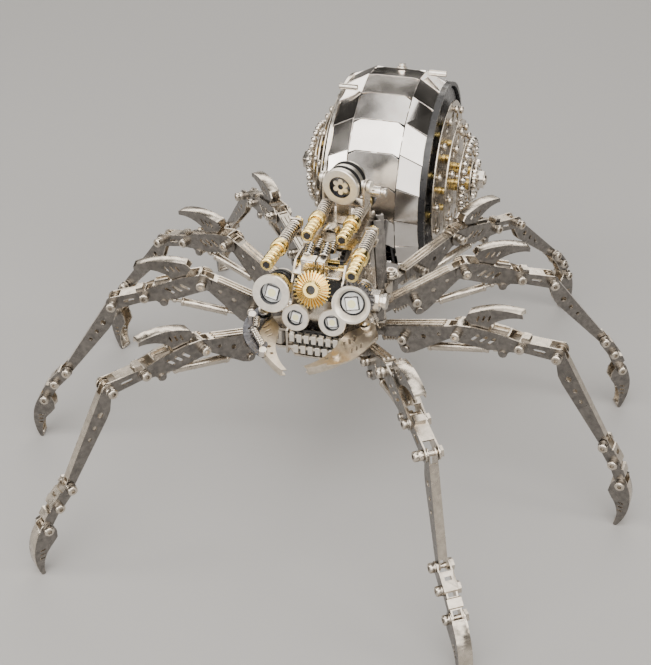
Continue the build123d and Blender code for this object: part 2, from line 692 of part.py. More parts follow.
def side_rails():
    """Two slanted U-channels on each side, from the deck's wings up to the cheeks."""
    section = Rectangle(2.6, 3.0) - Pos(0.8, 0) * Rectangle(2.6, 1.8)
    rails = []
    for y in (-0.8, 3.8):
        low, high = (15.2, y, DECK_TOP - 2.0), (11.4, y + 7.0, 98.0)
        length = (Vector(*high) - Vector(*low)).length
        rail = aim(low, high) * Rot(0, 90, 0) * upright(section, 0, length)
        rail -= Pos(0, 0, DECK_TOP - 10.0) * Box(80, 80, 20.0)
        rail -= Pos(0, 0, 80.0) * Box(2 * CHEEK_OUT, 80, 80)
        rails.append(rail)
    return rails + mirrored(rails)


def eye_place(eye, side):
    """An eye's frame: +X runs back from the front ring."""
    tilt = math.radians(EYE_TILT)
    x, y, z = eye
    return aim((side * x, y, z), (side * x, y + math.cos(tilt), z - math.sin(tilt)))


def big_eye(flared):
    """A lamp housing: a flat flange or a flared bell in front of a stepped barrel."""
    if flared:
        bell = revolve(outline((0, 0), (0, BIG_EYE_R), (0.6, BIG_EYE_R), (5.2, 5.2), (5.2, 0)), Axis.X)
        cup = revolve(outline((-0.1, 0), (-0.1, BIG_EYE_R - 0.8), (3.2, 4.3), (3.2, 0)), Axis.X)
        front = bell - cup
    else:
        front = turned([(1.3, BIG_EYE_R), (0.7, 6.2), (3.2, 5.6)], chamfer=0.3)
        front -= turned([(3.2, 4.3)], chamfer=0.01)
    steps = [(1.6, 5.4), (0.6, 4.4), (7.0, EYE_BARREL_R), (0.6, 4.4), (1.6, 5.2), (1.6, 3.0)]
    return front + Pos(5.2, 0, 0) * turned(steps)


def small_eye():
    """A small lamp cup on a screw through the face plate."""
    cup = turned([(1.0, SMALL_EYE_R), (2.6, 4.6), (0.8, 3.6)], chamfer=0.3)
    cup -= turned([(2.4, 3.2)], chamfer=0.01)
    return cup + Pos(4.4, 0, 0) * turned([(3.4, 1.5), (1.2, 1.5)])


def eye_housings():
    """The four steel lamp housings, the big ones with a foot against the cheek."""
    pieces = []
    for side in (-1, 1):
        place = eye_place(BIG_EYE, side)
        bar = Pos(side * (CHEEK_OUT + 1.0), -35.4, 89.6) * Box(2.0, 1.6, 3.0)
        pieces.append(place * big_eye(side > 0) + bar)
        pieces.append(eye_place(SMALL_EYE, side) * small_eye())
    return pieces


def lamp(board_r, chip):
    """A round lamp board with a square chip and a low dome."""
    board = Pos(-0.8, 0, 0) * turned([(0.8, board_r)])
    board += Pos(-1.3, 0, 0) * Box(1.0, chip, chip)
    return board + Pos(-1.9, 0, 0) * turned([(0.5, chip * 0.36)], chamfer=0.3)


def eye_lamps():
    """The lamp boards, one at the bottom of each eye's cup."""
    lamps = []
    for side in (-1, 1):
        lamps.append(eye_place(BIG_EYE, side) * Pos(3.2, 0, 0) * lamp(4.1, 4.6))
        lamps.append(eye_place(SMALL_EYE, side) * Pos(2.4, 0, 0) * lamp(3.0, 3.4))
    return lamps


def toothed(radius, root, teeth):
    """A flat gear outline with straight-sided teeth."""
    points = []
    for i in range(teeth):
        for part, r in ((-0.34, root), (-0.18, radius), (0.18, radius), (0.34, root)):
            angle = 2 * math.pi * (i + part) / teeth
            points.append((r * math.cos(angle), r * math.sin(angle)))
    return outline(*points)


def crown_gear():
    """The brass crown gear and the plain disc behind it, free to turn on their shaft."""
    front = toothed(4.7, 4.1, CROWN_TEETH)
    rear = toothed(CROWN_R, 6.1, CROWN_TEETH)
    gear = loft([front, Pos(0, 0, 3.4) * rear], ruled=True)
    gear += upright(rear, 3.4, 4.4)
    gear += upright(Circle(3.5), -1.1, 0.4)
    gear += upright(Circle(3.0), 4.4, 6.4) + upright(Circle(6.2), 6.4, 7.8)
    gear -= upright(Circle(CROWN_SHAFT_R + PIN_GAP), 0.2, 12)
    d_hole = Circle(CROWN_SHAFT_R) - Pos(0, 1.9) * Rectangle(4, 1.6)
    gear -= upright(d_hole, -2, 1)
    return [crown_place() * Pos(1.2, 0, 0) * Rot(0, 90, 0) * gear]


def nozzle():
    """A turned brass nozzle with a hexagon socket in its tip."""
    socket = Rot(0, 90, 0) * upright(RegularPolygon(1.35, 6, major_radius=False), -1, 2.2)
    return turned(NOZZLE_STEPS, chamfer=0.45) - socket


def brass_fittings():
    """Four nozzles, the nuts at the ends of their rods and the bands on the big eyes."""
    pieces = []
    nut = Rot(0, 90, 0) * upright(RegularPolygon(2.2, 6, major_radius=False), 0, 2.0)
    nut -= Rot(0, 90, 0) * Cylinder(NOZZLE_ROD_R + PIN_GAP, 10)
    band = turned([(0.9, 5.25)], bore=EYE_BARREL_R + PIN_GAP)
    for side in (-1, 1):
        for ends in (OUTER_NOZZLE, INNER_NOZZLE):
            place = nozzle_place(ends, side)
            pieces += [place * nozzle(), place * Pos(NOZZLE_LUG_AT + 0.9, 0, 0) * nut]
        for x in (7.8, 9.6, 11.4):
            pieces.append(eye_place(BIG_EYE, side) * Pos(x, 0, 0) * band)
    return pieces


def nozzle_springs():
    """The nozzle rods with their springs and washers, and two short springs on the bridge."""
    brass_l = sum(length for length, _ in NOZZLE_STEPS)
    pieces = []
    for side in (-1, 1):
        for ends in (OUTER_NOZZLE, INNER_NOZZLE):
            place = nozzle_place(ends, side)
            bar = Pos(brass_l, 0, 0) * turned([(22.0, NOZZLE_ROD_R)])
            washer = turned([(0.6, 2.7)], bore=NOZZLE_ROD_R + PIN_GAP)
            pieces += [place * bar, place * Pos(NOZZLE_LUG_AT - 1.5, 0, 0) * washer]
            turns = torus_row(brass_l + 0.1, 11, 1.36, 2.25, 0.36, 7)
            pieces += [place * ring for ring in turns]
        short = aim((side * 2.7, -24.4, BRIDGE_TOP + 1.9), (side * 2.7, -35.0, BRIDGE_TOP + 0.6))
        pieces.append(short * turned([(8.4, 0.8), (3.0, 1.9)]))
        pieces += [short * ring for ring in torus_row(0.6, 6, 1.25, 1.4, 0.34, 10)]
    return pieces


def battery_holder():
    """The black holder for the lamps' coin cell, on the deck between the cheeks."""
    body = Pos(0, -18.0, DECK_TOP + 2.2) * Box(17.0, 22.0, 4.4)
    return [body - Pos(0, -18.0, DECK_TOP + 3.6) * Cylinder(7.6, 2.4)]


def mouth_teeth():
    """Two rows of small blocks on bars between the mouth straps."""
    rows = []
    for z, count in ((72.6, 7), (67.6, 6)):
        bar = Pos(0, MOUTH_Y, z) * Box(2 * CHEEK_OUT, 1.2, 1.2)
        for i in range(count):
            x = (i - (count - 1) / 2) * 2.9
            bar += Pos(x, MOUTH_Y - 0.8, z) * Box(1.9, 1.8, 3.6)
        rows.append(bar)
    return rows


def jaw(side):
    """A folded fang with its curved shield, hinged on a pin beside the head."""
    tip_x = (Vector(*JAW_TIP) - Vector(*JAW_PIVOT)).length
    outer = ThreePointArc((-0.5, 3.3), (14.0, 5.8), (tip_x, 1.6))
    inner = ThreePointArc((tip_x + 0.4, -0.4), (18.0, 0.6), (10.5, -2.8))
    plan = make_face([
        outer, Line((tip_x, 1.6), (tip_x + 0.4, -0.4)), inner, Line((10.5, -2.8), (7.0, -4.4)),
        Line((7.0, -4.4), (1.5, -3.3)), ThreePointArc((1.5, -3.3), (-3.4, -0.6), (-0.5, 3.3)),
    ])
    plan -= disc(0, 0, JAW_PIN_R + PIN_GAP)
    for i in range(3):
        plan -= slot(5.8 + 2.3 * i, 0.6, 3.0, 0.8, 70)
    plan -= disc(19.0, 2.6, 0.6) + disc(15.6, 2.6, 0.7)
    strip = make_face([
        outer, Line((tip_x, 1.6), (tip_x + 0.1, 0.9)),
        ThreePointArc((tip_x + 0.1, 0.9), (14.0, 5.1), (-0.3, 2.7)), Line((-0.3, 2.7), (-0.5, 3.3)),
    ])
    fang = upright(plan, 1.2, 1.8) + upright(plan, -1.8, -1.2) + upright(strip, -1.8, 1.8)
    shield_plan = make_face([
        ThreePointArc((-2.6, 2.2), (7.0, 10.4), (21.0, 6.8)), Line((21.0, 6.8), (20.4, 5.4)),
        ThreePointArc((20.4, 5.4), (9.0, 4.6), (2.6, -1.6)),
        ThreePointArc((2.6, -1.6), (-1.6, -2.6), (-2.6, 2.2)),
    ])
    shield_plan -= disc(0, 0, JAW_PIN_R + PIN_GAP)
    for i in range(3):
        shield_plan -= slot(6.0 + 2.0 * i, 7.0 - 0.1 * i, 2.8, 0.7, 60)
    shield = upright(shield_plan, 2.1, 2.9)
    collar = turned([(0.3, 1.7)], bore=JAW_PIN_R + PIN_GAP)
    collar = Rot(0, -90, 0) * collar
    spacer = Pos(0, 0, 1.8) * collar
    stud = upright(disc(16.0, 5.0, 1.0), 1.8, 3.4) + upright(disc(16.0, 5.0, 1.5), 2.9, 4.3)
    shield -= upright(disc(16.0, 5.0, 1.0 + PIN_GAP), 0, 5)
    pieces = placed(jaw_place(), placed(Rot(0, 0, JAW_OPEN[side]), [fang, shield, spacer, stud]))
    return pieces if side == "left" else mirrored(pieces)


def turret_housing():
    """The stacked turret body with its lobed screw and trunnions."""
    steps = [(2.4, TURRET_R), (1.6, 6.0), (3.2, 7.2), (1.6, 6.0), (1.4, 6.8), (3.0, 4.6)]
    body = turned(steps, chamfer=0.25)
    body -= turned([(1.7, 4.5)], chamfer=0.01)
    screw = Circle(2.0)
    for i in range(6):
        screw += Rot(0, 0, 60 * i) * disc(2.4, 0, 1.0)
    screw -= Circle(1.1)
    body += Rot(0, 90, 0) * upright(screw, 0.6, 1.7)
    trunnion = rod(TURRET_PIVOT_AT, 0, TRUNNION_R, -10.2, 10.2)
    for sign in (-1, 1):
        low, high = sorted((sign * 9.4, sign * 10.8))
        trunnion += rod(TURRET_PIVOT_AT, 0, 2.1, low, high)
        low, high = sorted((sign * 6.8, sign * 8.0))
        trunnion += rod(TURRET_PIVOT_AT, 0, 2.0, low, high)
    return [turret_place() * (body + trunnion)]


def turret_rings():
    """The black rubber rings in the turret's grooves."""
    rings = []
    for x in (2.45, 7.25):
        ring = turned([(1.5, 7.0)], bore=6.0 + PIN_GAP, chamfer=0.5)
        rings.append(turret_place() * Pos(x, 0, 0) * ring)
    return rings


# ---------------------------------------------------------------- abdomen


def drum_point(x, radius, degrees):
    """A point of the drum: 0 degrees faces forwards and 90 degrees faces up."""
    angle = math.radians(degrees)
    return Vector(x, DRUM_Y - radius * math.cos(angle), DRUM_Z + radius * math.sin(angle))


def centre_tile(degrees):
    """A mirror plate of the middle column, with cut corners at its leading edge."""
    step = 180 / DRUM_SIDES
    apothem = DRUM_R * math.cos(math.radians(step))
    half = apothem * math.tan(math.radians(step)) - TILE_GAP / 2
    cut, flat = 2.0, CENTRE_HALF - 3.0
    plan = outline(
        (-flat, half), (flat, half), (CENTRE_HALF, half - cut), (CENTRE_HALF, -half - cut + 0.6),
        (flat, -half), (-flat, -half), (-CENTRE_HALF, -half - cut + 0.6), (-CENTRE_HALF, half - cut),
    )
    angle = math.radians(degrees)
    outward = Vector(0, -math.cos(angle), math.sin(angle))
    place = Plane(origin=drum_point(0, apothem, degrees), x_dir=(1, 0, 0), z_dir=outward)
    return place * upright(plan, -TILE_T, 0)


def side_tile(degrees):
    """A slanted mirror plate of the left column, running down to the drum's rim."""
    half = 180 / DRUM_SIDES - math.degrees(TILE_GAP / 2 / DRUM_R)
    inner_x = CENTRE_HALF + TILE_GAP
    corners = [
        drum_point(inner_x, DRUM_R, degrees - half),
        drum_point(inner_x, DRUM_R, degrees + half),
        drum_point(SIDE_HALF, RIM_R, degrees + half - RIM_TWIST),
        drum_point(SIDE_HALF, RIM_R, degrees - half - RIM_TWIST),
    ]
    middle = sum(corners, Vector()) * 0.25
    across_dir = (corners[2] + corners[3] - corners[0] - corners[1]).normalized()
    along = corners[1] + corners[2] - corners[0] - corners[3]
    normal = across_dir.cross(along).normalized()
    place = Plane(origin=middle, x_dir=across_dir, z_dir=normal)
    flat = [place.to_local_coords(corner) for corner in corners]
    plate = upright(outline(*[(corner.X, corner.Y) for corner in flat]), -TILE_T, 0)
    return place * plate


def abdomen_shell():
    """The three columns of mirror plates, open under the front for the waist arm."""
    tiles = []
    for i in range(DRUM_SIDES):
        degrees = (i + 0.5) * 360 / DRUM_SIDES
        side = side_tile(degrees)
        tiles += [side, mirror(side, about=Plane.YZ)]
        if i != DRUM_SIDES - 2:
            tiles.append(centre_tile(degrees))
    return tiles


def abdomen_core():
    """The black drum inside the plates, its axle tube and the waist arm."""
    step = 180 / DRUM_SIDES
    apothem = DRUM_R * math.cos(math.radians(step)) - TILE_T
    centre = Pos(DRUM_Y, DRUM_Z)
    waist_y, waist_z = WAIST[1:]
    arm = outline(
        (waist_y, waist_z + 3.2), (31.0, 74.0), (37.6, 64.6), (44.0, 63.0), (62.0, 70.0), (DRUM_Y, 84.0),
        (DRUM_Y, 76.0), (64.0, 60.0), (46.0, 56.0), (38.0, 57.4), (29.0, 66.0), (waist_y, waist_z - 3.0),
    )
    arm += disc(waist_y, waist_z, 3.1)
    arm -= disc(waist_y, waist_z, WAIST_PIN_R + PIN_GAP)
    rib = RegularPolygon(apothem, DRUM_SIDES, major_radius=False) - Circle(apothem - 7.0)
    rim_apothem = RIM_R * math.cos(math.radians(step)) - TILE_T - 0.5
    rim = Rot(0, 0, RIM_TWIST) * RegularPolygon(rim_apothem, DRUM_SIDES, major_radius=False)
    plates = [(WAIST_HALF - 1.0, arm), (CENTRE_HALF - 2.4, centre * rib), (SIDE_HALF - 1.4, centre * rim)]
    half = [Pos(x, 0, 0) * extrude(Plane.YZ * plan, 1.0, dir=(1, 0, 0)) for x, plan in plates]
    for k in range(4):
        spoke = Pos(7.15, 0, 22.0) * Box(2.9, 4.0, 34.0)
        half.append(Pos(0, DRUM_Y, DRUM_Z) * Rot(45 + 90 * k, 0, 0) * spoke)
    hub = Pos(0, DRUM_Y, DRUM_Z) * Rot(20, 0, 0) * Rot(0, 90, 0)
    half = [piece - hub * Cylinder(TUBE_R, 100) for piece in half]
    tube = hub * Cylinder(TUBE_R, 2 * SIDE_HALF - 0.8) - hub * Cylinder(AXLE_R + PIN_GAP, 100)
    return [tube] + half + mirrored(half)


def ring_of(piece, count, radius):
    """Copies of a piece on a circle about the drum's axle."""
    return [Rot(360 * i / count, 0, 0) * Pos(0, radius, 0) * piece for i in range(count)]


def rotor_discs():
    """The steel axle with its stepped discs, bead screws and hub nuts, as one spinning rotor."""
    centre = Pos(0, DRUM_Y, DRUM_Z)
    axle = Pos(-HUB_X + 2.0, 0, 0) * turned([(2 * HUB_X - 4.0, AXLE_R)], chamfer=0.05)
    bead = turned([(0.5, 0.9), (1.9, 1.65)], chamfer=0.5)
    stages = [Pos(ROTOR_BASE_X, 0, 0) * turned([(ROTOR_T, 39.4)], bore=AXLE_R + PIN_GAP)]
    for x, radius, count, circle in ROTOR_STAGES:
        stage = Pos(x, 0, 0) * turned([(ROTOR_T, radius)], bore=AXLE_R + PIN_GAP)
        for piece in ring_of(Pos(x + ROTOR_T, 0, 0) * bead, count, circle):
            stage += piece
        for piece in ring_of(Pos(x, 0, 0) * turned([(ROTOR_T, radius * 0.09)]), count, circle - 4.2):
            stage -= piece
        stages.append(stage)
    last = ROTOR_STAGES[-1][0] + ROTOR_T
    nut = Rot(0, 90, 0) * upright(RegularPolygon(2.9, 6, major_radius=False), last, last + 3.6)
    nut += Pos(last + 3.6, 0, 0) * turned([(HUB_X - last - 3.6, 2.4)], chamfer=0.7)
    nut -= Pos(-HUB_X + 2.0, 0, 0) * turned([(2 * HUB_X - 4.0, AXLE_R + PIN_GAP)], chamfer=0.01)
    stages.append(nut)
    return placed(centre, [axle] + stages + mirrored(stages))


def rotor_spacers():
    """The brass columns between the rotor's discs."""
    centre = Pos(0, DRUM_Y, DRUM_Z)
    columns = []
    start = ROTOR_BASE_X + ROTOR_T
    for x, radius, count, circle in ROTOR_STAGES:
        column = Pos(start, 0, 0) * turned([(x - start, 1.5)])
        columns += ring_of(column, max(4, count // 2), circle - (8.2 if circle > 10 else 2.6))
        start = x + ROTOR_T
    return placed(centre, columns + mirrored(columns))


BODY_NODES = {
    "belly_plate": belly_plate,
    "deck_plate": deck_plate,
    "chassis_fasteners": chassis_fasteners,
    "head_frame": head_frame,
    "side_rails": side_rails,
    "eye_housings": eye_housings,
    "eye_lamps": eye_lamps,
    "crown_gear": crown_gear,
    "brass_fittings": brass_fittings,
    "nozzle_springs": nozzle_springs,
    "battery_holder": battery_holder,
    "mouth_teeth": mouth_teeth,
    "left_jaw": lambda: jaw("left"),
    "right_jaw": lambda: jaw("right"),
    "turret_housing": turret_housing,
    "turret_rings": turret_rings,
    "abdomen_shell": abdomen_shell,
    "abdomen_core": abdomen_core,
    "rotor_discs": rotor_discs,
    "rotor_spacers": rotor_spacers,
}


def main():
    os.makedirs("parts", exist_ok=True)
    nodes = {name: build() for name, build in BODY_NODES.items()}
    for name in STANCE:
        nodes.update(leg(name))
    for name, pieces in nodes.items():
        solids = [solid for piece in pieces for solid in piece.solids()]
        export_step(Compound(children=solids), f"parts/{name}.step")


if __name__ == "__main__":
    main()
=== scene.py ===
"""A polished steel and brass mechanical spider with lamp eyes, built around its CAD frame."""
import math

import bmesh
import bpy
from mathutils import Matrix, Vector


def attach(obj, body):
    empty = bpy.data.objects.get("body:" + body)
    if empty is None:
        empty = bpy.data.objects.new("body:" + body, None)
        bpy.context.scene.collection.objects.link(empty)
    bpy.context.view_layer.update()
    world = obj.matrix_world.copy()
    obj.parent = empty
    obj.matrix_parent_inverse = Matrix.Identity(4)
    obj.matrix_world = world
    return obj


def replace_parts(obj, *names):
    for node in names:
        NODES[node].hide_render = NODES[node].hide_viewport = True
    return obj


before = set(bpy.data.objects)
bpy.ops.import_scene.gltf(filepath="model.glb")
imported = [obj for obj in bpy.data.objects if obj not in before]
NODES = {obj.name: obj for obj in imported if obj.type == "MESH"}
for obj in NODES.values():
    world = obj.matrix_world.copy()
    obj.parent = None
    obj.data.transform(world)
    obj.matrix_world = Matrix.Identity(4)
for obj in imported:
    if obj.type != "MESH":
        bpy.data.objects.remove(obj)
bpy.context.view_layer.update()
MM = 0.001
LEGS = [f"{side}_leg_{number}" for side in ("left", "right") for number in (1, 2, 3, 4)]
BOTH_SIDES = (-1, 1)  # the spider's right, then its left


# ---------------------------------------------------------------- camera and studio

CAMERA_AT = (121.1, -436.6, 358.75)
CAMERA_AZIMUTH = math.radians(16.5)
CAMERA_ELEVATION = math.radians(34.59)
CAMERA_ROLL = -0.019
FOCAL_LENGTH = 72.18
LENS_SHIFT = -0.0026
NEAR_CLIP = 0.01
STUDIO_MIDDLE = (0.0, 0.0, 0.07)
FLOOR_REACH = 4.0
SURROUND_COLOUR = (0.36, 0.34, 0.31, 1.0)
SURROUND_STRENGTH = 0.10


def aim_camera():
    """The camera looks down at the spider's face from its front left."""
    level = math.cos(CAMERA_ELEVATION)
    east, north = math.sin(CAMERA_AZIMUTH) * level, -math.cos(CAMERA_AZIMUTH) * level
    back = Vector((east, north, math.sin(CAMERA_ELEVATION)))
    right = Vector((math.cos(CAMERA_AZIMUTH), math.sin(CAMERA_AZIMUTH), 0.0))
    up = back.cross(right)
    tilted_right = right * math.cos(CAMERA_ROLL) + up * math.sin(CAMERA_ROLL)
    tilted_up = up * math.cos(CAMERA_ROLL) - right * math.sin(CAMERA_ROLL)
    turn = Matrix((tilted_right, tilted_up, back)).transposed().to_4x4()
    data = bpy.data.cameras.new("camera")
    data.sensor_fit = "HORIZONTAL"
    data.lens = FOCAL_LENGTH
    data.shift_x = LENS_SHIFT
    data.shift_y = LENS_SHIFT
    data.clip_start = NEAR_CLIP
    camera = bpy.data.objects.new("camera", data)
    camera.matrix_world = Matrix.Translation(Vector(CAMERA_AT) * MM) @ turn
    bpy.context.scene.collection.objects.link(camera)
    bpy.context.scene.camera = camera


def area_light(name, place, size, power, colour):
    """A soft rectangular light facing the studio's middle; place and size are in metres."""
    data = bpy.data.lights.new(name, "AREA")
    data.shape = "RECTANGLE"
    data.size, data.size_y = size
    data.energy = power
    data.color = colour
    light = bpy.data.objects.new(name, data)
    light.location = place
    light.rotation_euler = (Vector(place) - Vector(STUDIO_MIDDLE)).to_track_quat("Z", "Y").to_euler()
    bpy.context.scene.collection.objects.link(light)


def studio():
    """A pale floor, a dim surround, wide soft lights in front, above and behind, and a strip each side."""
    area_light("front_softbox", (0.05, -0.62, 0.95), (2.4, 0.9), 26.0, (1.0, 0.965, 0.92))
    area_light("top_softbox", (0.05, 0.0, 1.25), (2.2, 0.6), 11.0, (1.0, 0.97, 0.93))
    area_light("low_softbox", (0.15, -1.35, 0.42), (2.4, 0.5), 11.0, (1.0, 0.965, 0.92))
    area_light("rear_softbox", (-0.35, 1.25, 0.72), (1.7, 0.6), 12.0, (1.0, 0.955, 0.89))
    area_light("left_strip", (-0.85, -0.35, 0.4), (0.2, 0.6), 3.0, (1.0, 0.96, 0.9))
    area_light("right_strip", (0.9, -0.1, 0.45), (0.2, 0.6), 3.0, (1.0, 0.96, 0.9))
    world = bpy.data.worlds.new("surround")
    bpy.context.scene.world = world
    world.use_nodes = True
    world.node_tree.nodes["Background"].inputs["Color"].default_value = SURROUND_COLOUR
    world.node_tree.nodes["Background"].inputs["Strength"].default_value = SURROUND_STRENGTH
    mesh = bpy.data.meshes.new("floor")
    corners = [
        (-FLOOR_REACH, -FLOOR_REACH, 0), (FLOOR_REACH, -FLOOR_REACH, 0),
        (FLOOR_REACH, FLOOR_REACH, 0), (-FLOOR_REACH, FLOOR_REACH, 0),
    ]
    mesh.from_pydata(corners, [], [(0, 1, 2, 3)])
    floor = bpy.data.objects.new("floor", mesh)
    bpy.context.scene.collection.objects.link(floor)
    paint = Paint("floor_paper", (0.36, 0.355, 0.35), roughness=0.9, specular=0.1)
    mesh.materials.append(paint.material)


# ---------------------------------------------------------------- materials

NOISE_LOW = 0.3  # most of the noise lies between these two levels
NOISE_HIGH = 0.7
SMEAR_SCALE = 0.35  # the smears and scratches are scaled from the mottling
SCRATCH_SCALE = 2.2
SCRATCH_STRETCH = (1.0, 1.0, 7.0)
SCRATCH_STRENGTH = 0.02
SCRATCH_DEPTH = 0.00005


class Paint:
    """A Principled material with the few node chains that every finish here shares."""

    def __init__(self, name, colour, roughness=0.5, metallic=0.0, specular=0.5):
        self.material = bpy.data.materials.new(name)
        self.material.use_nodes = True
        self.tree = self.material.node_tree
        self.shader = self.tree.nodes["Principled BSDF"]
        self.shader.inputs["Base Color"].default_value = (*colour, 1.0)
        self.shader.inputs["Roughness"].default_value = roughness
        self.shader.inputs["Metallic"].default_value = metallic
        self.shader.inputs["Specular IOR Level"].default_value = specular

    def node(self, kind, **values):
        """A new node, with each value set on the input or the property of that name."""
        node = self.tree.nodes.new(kind)
        for key, value in values.items():
            if key in node.inputs:
                node.inputs[key].default_value = value
            else:
                setattr(node, key, value)
        return node

    def link(self, source, target):
        self.tree.links.new(source, target)

    def noise(self, scale, detail=3.0, stretch=None):
        """Noise over the object's own coordinates, with the scale in features per metre."""
        noise = self.node("ShaderNodeTexNoise", Scale=scale, Detail=detail)
        place = self.node("ShaderNodeTexCoord").outputs["Object"]
        if stretch:
            mapping = self.node("ShaderNodeMapping", Scale=stretch)
            self.link(place, mapping.inputs["Vector"])
            place = mapping.outputs["Vector"]
        self.link(place, noise.inputs["Vector"])
        return noise.outputs["Fac"]

    def ramp(self, factor, low, high):
        """Maps the usual spread of a noise onto a range of values."""
        node = self.node("ShaderNodeMapRange")
        node.inputs["From Min"].default_value = NOISE_LOW
        node.inputs["From Max"].default_value = NOISE_HIGH
        node.inputs["To Min"].default_value = low
        node.inputs["To Max"].default_value = high
        self.link(factor, node.inputs["Value"])
        return node.outputs["Result"]

    def blend(self, factor, first, second):
        """Mixes two colours by a factor."""
        mix = self.node("ShaderNodeMix", data_type="RGBA")
        self.link(factor, mix.inputs["Factor"])
        for key, colour in (("A", first), ("B", second)):
            socket = [s for s in mix.inputs if s.name == key and s.type == "RGBA"][0]
            socket.default_value = (*colour, 1.0)
        return [s for s in mix.outputs if s.type == "RGBA"][0]

    def bump(self, height, strength, distance):
        """Uses a height to bend the shading normal."""
        node = self.node("ShaderNodeBump", Strength=strength, Distance=distance)
        self.link(height, node.inputs["Height"])
        self.link(node.outputs["Normal"], self.shader.inputs["Normal"])

    def worn(self, light, dark, rough_low, rough_high, scale):
        """Mottled colour and roughness, with fine scratches as bump."""
        mottle = self.noise(scale)
        self.link(self.blend(self.ramp(mottle, 0.0, 1.0), light, dark), self.shader.inputs["Base Color"])
        smear = self.noise(scale * SMEAR_SCALE, 2.0)
        self.link(self.ramp(smear, rough_low, rough_high), self.shader.inputs["Roughness"])
        scratches = self.noise(scale * SCRATCH_SCALE, 2.0, SCRATCH_STRETCH)
        self.bump(scratches, SCRATCH_STRENGTH, SCRATCH_DEPTH)


def worn_paint(paint, light, dark, rough_low, rough_high, scale=900.0):
    """Wears a paint between a light and a dark colour and two roughnesses, and gives its material."""
    paint.worn(light, dark, rough_low, rough_high, scale)
    return paint.material


def metal(name, colour, roughness, *wear):
    """A worn bare metal."""
    return worn_paint(Paint(name, colour, roughness, 1.0), *wear)


STEEL = metal(
    "polished_steel", (0.62, 0.56, 0.48), 0.25, (0.70, 0.63, 0.54), (0.50, 0.45, 0.38), 0.20, 0.32, 500.0,
)
BOLT_STEEL = metal(
    "bolt_steel", (0.76, 0.71, 0.64), 0.2, (0.84, 0.79, 0.72), (0.66, 0.61, 0.54), 0.14, 0.26, 900.0,
)
MIRROR = metal(
    "mirror_steel", (0.82, 0.78, 0.74), 0.1, (0.86, 0.82, 0.78), (0.78, 0.74, 0.70), 0.10, 0.18, 260.0,
)
SATIN = metal(
    "satin_steel", (0.93, 0.88, 0.79), 0.4, (0.97, 0.92, 0.83), (0.86, 0.80, 0.71), 0.36, 0.46, 700.0,
)
# a warm steel for the jaws, darkened with painted shade to stand in for the shading and dim reflections on
# them
WARM_SHADED_STEEL = metal(
    "warm_shaded_steel", (0.74, 0.66, 0.54), 0.34, (0.80, 0.72, 0.60), (0.62, 0.54, 0.44), 0.28, 0.40, 500.0,
)
# painted shade: a dark steel standing in for the dark reflections on the side rails and the legs' outer
# side faces
SIDE_SHADE_STEEL = metal(
    "side_shade_steel", (0.22, 0.205, 0.19), 0.28, (0.27, 0.25, 0.23), (0.16, 0.15, 0.14), 0.22, 0.34, 500.0,
)
DARK = metal("dark_steel", (0.12, 0.12, 0.13), 0.3, (0.16, 0.16, 0.17), (0.08, 0.08, 0.09), 0.22, 0.34)
BRASS = metal(
    "bare_brass", (0.96, 0.74, 0.28), 0.22, (1.0, 0.80, 0.34), (0.88, 0.64, 0.20), 0.16, 0.30, 1200.0,
)
BLACK = worn_paint(
    Paint("black_metal", (0.012, 0.012, 0.014), 0.3, specular=0.6),
    (0.02, 0.02, 0.022), (0.008, 0.008, 0.009), 0.2, 0.42,
)
RUBBER = worn_paint(
    Paint("black_rubber", (0.006, 0.006, 0.006), 0.6, specular=0.2),
    (0.009, 0.009, 0.009), (0.004, 0.004, 0.004), 0.55, 0.7,
)
LAMP_BOARD = worn_paint(
    Paint("lamp_board", (0.62, 0.63, 0.62), 0.3), (0.68, 0.69, 0.68), (0.54, 0.55, 0.54), 0.2, 0.4, 2000.0,
)
LAMP_CHIP = worn_paint(
    Paint("lamp_chip", (0.95, 0.94, 0.9), 0.25), (0.97, 0.96, 0.92), (0.88, 0.87, 0.82), 0.15, 0.35, 2500.0,
)
LAMP_LIGHT = worn_paint(
    Paint("lamp_light", (0.88, 0.84, 0.50), 0.15), (0.92, 0.88, 0.56), (0.84, 0.78, 0.40), 0.1, 0.2, 3000.0,
)

FINISHES = {
    "belly_plate": STEEL,
    "deck_plate": STEEL,
    "chassis_fasteners": BOLT_STEEL,
    "head_frame": STEEL,
    # painted shade over the whole side rails
    "side_rails": SIDE_SHADE_STEEL,
    "eye_housings": SATIN,
    "eye_lamps": LAMP_BOARD,
    "crown_gear": BRASS,
    "brass_fittings": BRASS,
    "nozzle_springs": BOLT_STEEL,
    "battery_holder": BLACK,
    "mouth_teeth": SATIN,
    # painted shade: the jaws get the darkened warm steel
    "left_jaw": WARM_SHADED_STEEL,
    "right_jaw": WARM_SHADED_STEEL,
    "turret_housing": SATIN,
    "turret_rings": RUBBER,
    "abdomen_shell": MIRROR,
    "abdomen_core": BLACK,
    "rotor_discs": STEEL,
    "rotor_spacers": BRASS,
}

WELD_REACH = 0.001
EDGE_WIDTH = 0.1


def soften(made, width, least_angle=35.0):
    """Bevels the edges of a piece that turn by more than an angle; the width is in millimetres."""
    bevel = made.modifiers.new("soft_edges", "BEVEL")
    bevel.width = width * MM
    bevel.segments = 2
    bevel.limit_method = "ANGLE"
    bevel.angle_limit = math.radians(least_angle)
    return bevel


def dress(node, material):
    """Gives a CAD node one material, joined edges and small bevels."""
    made = NODES[node]
    made.data.materials.clear()
    made.data.materials.append(material)
    weld = made.modifiers.new("joined_edges", "WELD")
    weld.merge_threshold = WELD_REACH * MM
    soften(made, EDGE_WIDTH, 40.0).harden_normals = True


